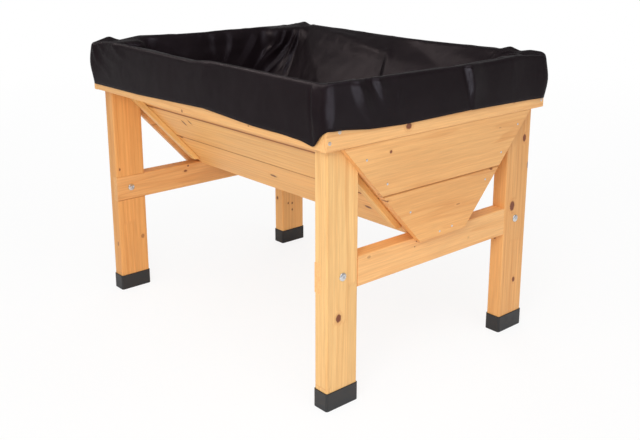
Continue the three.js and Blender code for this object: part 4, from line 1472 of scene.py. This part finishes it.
def floor_material():
    """White floor: plain diffuse for the object, lifted to white where it is looked at, and the more so
    the farther it lies from the object."""
    look = settings("stage")
    made = bpy.data.materials.new("studio floor")
    made.use_nodes = True
    made.node_tree.nodes.clear()
    make = Nodes(made.node_tree)
    matt = make.add("ShaderNodeBsdfDiffuse", {"Color": with_alpha(look.floor)}).outputs[0]
    bright = make.add("ShaderNodeEmission", {"Color": (1.0, 1.0, 1.0, 1.0), "Strength": 1.0}).outputs[0]
    seen = make.add("ShaderNodeLightPath").outputs["Is Camera Ray"]
    away = make.vector("LENGTH", make.add("ShaderNodeTexCoord").outputs["Object"])
    lift = make.math("MULTIPLY", seen, make.ramp(away, 1.2, 5.0, look.lift, 1.0))
    mixed = make.add("ShaderNodeMixShader", {0: lift, 1: matt, 2: bright})
    make.add("ShaderNodeOutputMaterial", {"Surface": mixed.outputs[0]})
    return made


def world_light():
    """White where it is looked at, a little less where it is mirrored, and soft for all else."""
    look = settings("stage")
    world = bpy.data.worlds.new("studio")
    world.use_nodes = True
    world.node_tree.nodes.clear()
    make = Nodes(world.node_tree)
    ray = make.add("ShaderNodeLightPath").outputs
    unseen = make.ramp(ray["Is Glossy Ray"], 0.0, 1.0, look.sky, look.shine)
    strength = make.ramp(ray["Is Camera Ray"], 0.0, 1.0, unseen, 1.0)
    ground = make.add("ShaderNodeBackground", {"Color": (1.0, 1.0, 1.0, 1.0), "Strength": strength})
    make.add("ShaderNodeOutputWorld", {"Surface": ground.outputs[0]})
    bpy.context.scene.world = world


def lamp(name, place, target, size, watts, mirrored=True):
    """Square lamp that faces a target and is never seen itself. One that isn't mirrored gives no
    highlight."""
    light = bpy.data.lights.new(name, "AREA")
    light.size = size
    light.energy = watts
    holder = bpy.data.objects.new(name, light)
    holder.location = place
    holder.visible_camera = False
    holder.visible_glossy = mirrored
    holder.rotation_euler = (Vector(target) - Vector(place)).to_track_quat("-Z", "Y").to_euler()
    bpy.context.scene.collection.objects.link(holder)
    return holder


def strip_lamps(watts):
    """Lamps that only put highlights on the folds of the liner: across the right skirt, down the back
    wall and down the left wall."""
    lit = bpy.data.collections.new("cloth under the strips")
    lit.objects.link(bpy.data.objects["fabric_liner"])
    bluish, warm = (0.78, 0.88, 1.0), (1.0, 0.93, 0.90)
    for name, place, target, size, times, light in (
        ("skirt strip", (2.8, -0.5, 0.38), (0.5, 0.0, 0.70), 0.8, 1.9, bluish),
        ("back wall strip", (-1.2, -1.4, 2.4), (0.0, 0.3, 0.65), 0.9, 1.1, warm),
        ("left wall strip", (1.23, -0.12, 2.6), (-0.45, 0.1, 0.68), 1.0, 0.6, bluish),
    ):
        holder = lamp(name, place, target, size, times * watts)
        holder.data.color = light
        holder.visible_diffuse = False
        holder.light_linking.receiver_collection = lit


def sun(strength):
    """Wide lamp high on the right and to the front, which lights the floor evenly however far it runs."""
    light = bpy.data.lights.new("sun", "SUN")
    light.energy = strength
    light.angle = math.radians(70)
    holder = bpy.data.objects.new("sun", light)
    holder.rotation_euler = Vector((0.45, -0.5, 1.0)).to_track_quat("Z", "Y").to_euler()
    bpy.context.scene.collection.objects.link(holder)


class PLANTER_OT_stage(bpy.types.Operator):
    """Lay the floor and set the lamps and the camera."""

    bl_idname = "planter.stage"
    bl_label = "Set the Stage"

    def execute(self, context):
        look = settings("stage")
        scene = context.scene
        scene.view_settings.view_transform = "Standard"
        half = 30.0
        corners = [(-half, -half, 0.0), (half, -half, 0.0), (half, half, 0.0), (-half, half, 0.0)]
        mesh_piece("studio_floor", corners, [(0, 1, 2, 3)], floor_material(), smooth=False)
        world_light()
        middle = (0.0, 0.0, 0.45)
        lamp("key", (1.3, -1.65, 1.25), middle, 0.8, look.key, mirrored=False)
        lamp("fill", (-2.2, 2.0, 1.8), middle, 1.8, look.fill, mirrored=False)
        lamp("low", (2.3, 1.1, 0.4), (-0.4, 0.3, 0.25), 1.2, look.low, mirrored=False)
        strip_lamps(look.strip)
        sun(look.sun)
        lens = bpy.data.cameras.new("camera")
        lens.lens = look.lens
        lens.shift_y = look.shift
        lens.clip_end = 200.0
        camera = bpy.data.objects.new("camera", lens)
        camera.location = look.camera_place
        upright = math.radians(90)
        camera.rotation_euler = (upright - look.camera_tilt, 0.0, look.camera_heading - upright)
        scene.collection.objects.link(camera)
        scene.camera = camera
        return {"FINISHED"}


# ---- Panel and registration -------------------------------------------------------------------


class PLANTER_PT_panel(bpy.types.Panel):
    """Settings and steps of the raised planter."""

    bl_idname = "PLANTER_PT_panel"
    bl_label = "Raised Planter"
    bl_space_type = "VIEW_3D"
    bl_region_type = "UI"
    bl_category = "Planter"

    def draw(self, context):
        for name, steps in (
            ("wood", ("planter.wood",)),
            ("fixing", ("planter.feet", "planter.fixings")),
            ("liner", ("planter.liner",)),
            ("stage", ("planter.stage",)),
        ):
            group = settings(name)
            box = self.layout.box()
            for key in group.bl_rna.properties.keys():
                if key not in ("rna_type", "name"):
                    box.prop(group, key)
            for step in steps:
                box.operator(step)


SETTINGS = {
    "planter_wood": PlanterWoodSettings,
    "planter_liner": PlanterLinerSettings,
    "planter_fixing": PlanterFixingSettings,
    "planter_stage": PlanterStageSettings,
}
OPERATORS = (
    PLANTER_OT_wood,
    PLANTER_OT_feet,
    PLANTER_OT_fixings,
    PLANTER_OT_liner,
    PLANTER_OT_stage,
)
CLASSES = (*SETTINGS.values(), *OPERATORS, PLANTER_PT_panel)


def register():
    """Register the classes and hang the settings on the scene."""
    for cls in CLASSES:
        bpy.utils.register_class(cls)
    for name, group in SETTINGS.items():
        setattr(bpy.types.Scene, name, bpy.props.PointerProperty(type=group))


def unregister():
    """Take the settings off the scene and unregister the classes."""
    for name in SETTINGS:
        delattr(bpy.types.Scene, name)
    for cls in reversed(CLASSES):
        bpy.utils.unregister_class(cls)


def main():
    """Make everything in order."""
    register()
    bpy.ops.planter.wood()
    bpy.ops.planter.feet()
    bpy.ops.planter.fixings()
    bpy.ops.planter.liner()
    bpy.ops.planter.stage()


if __name__ == "__main__":
    main()
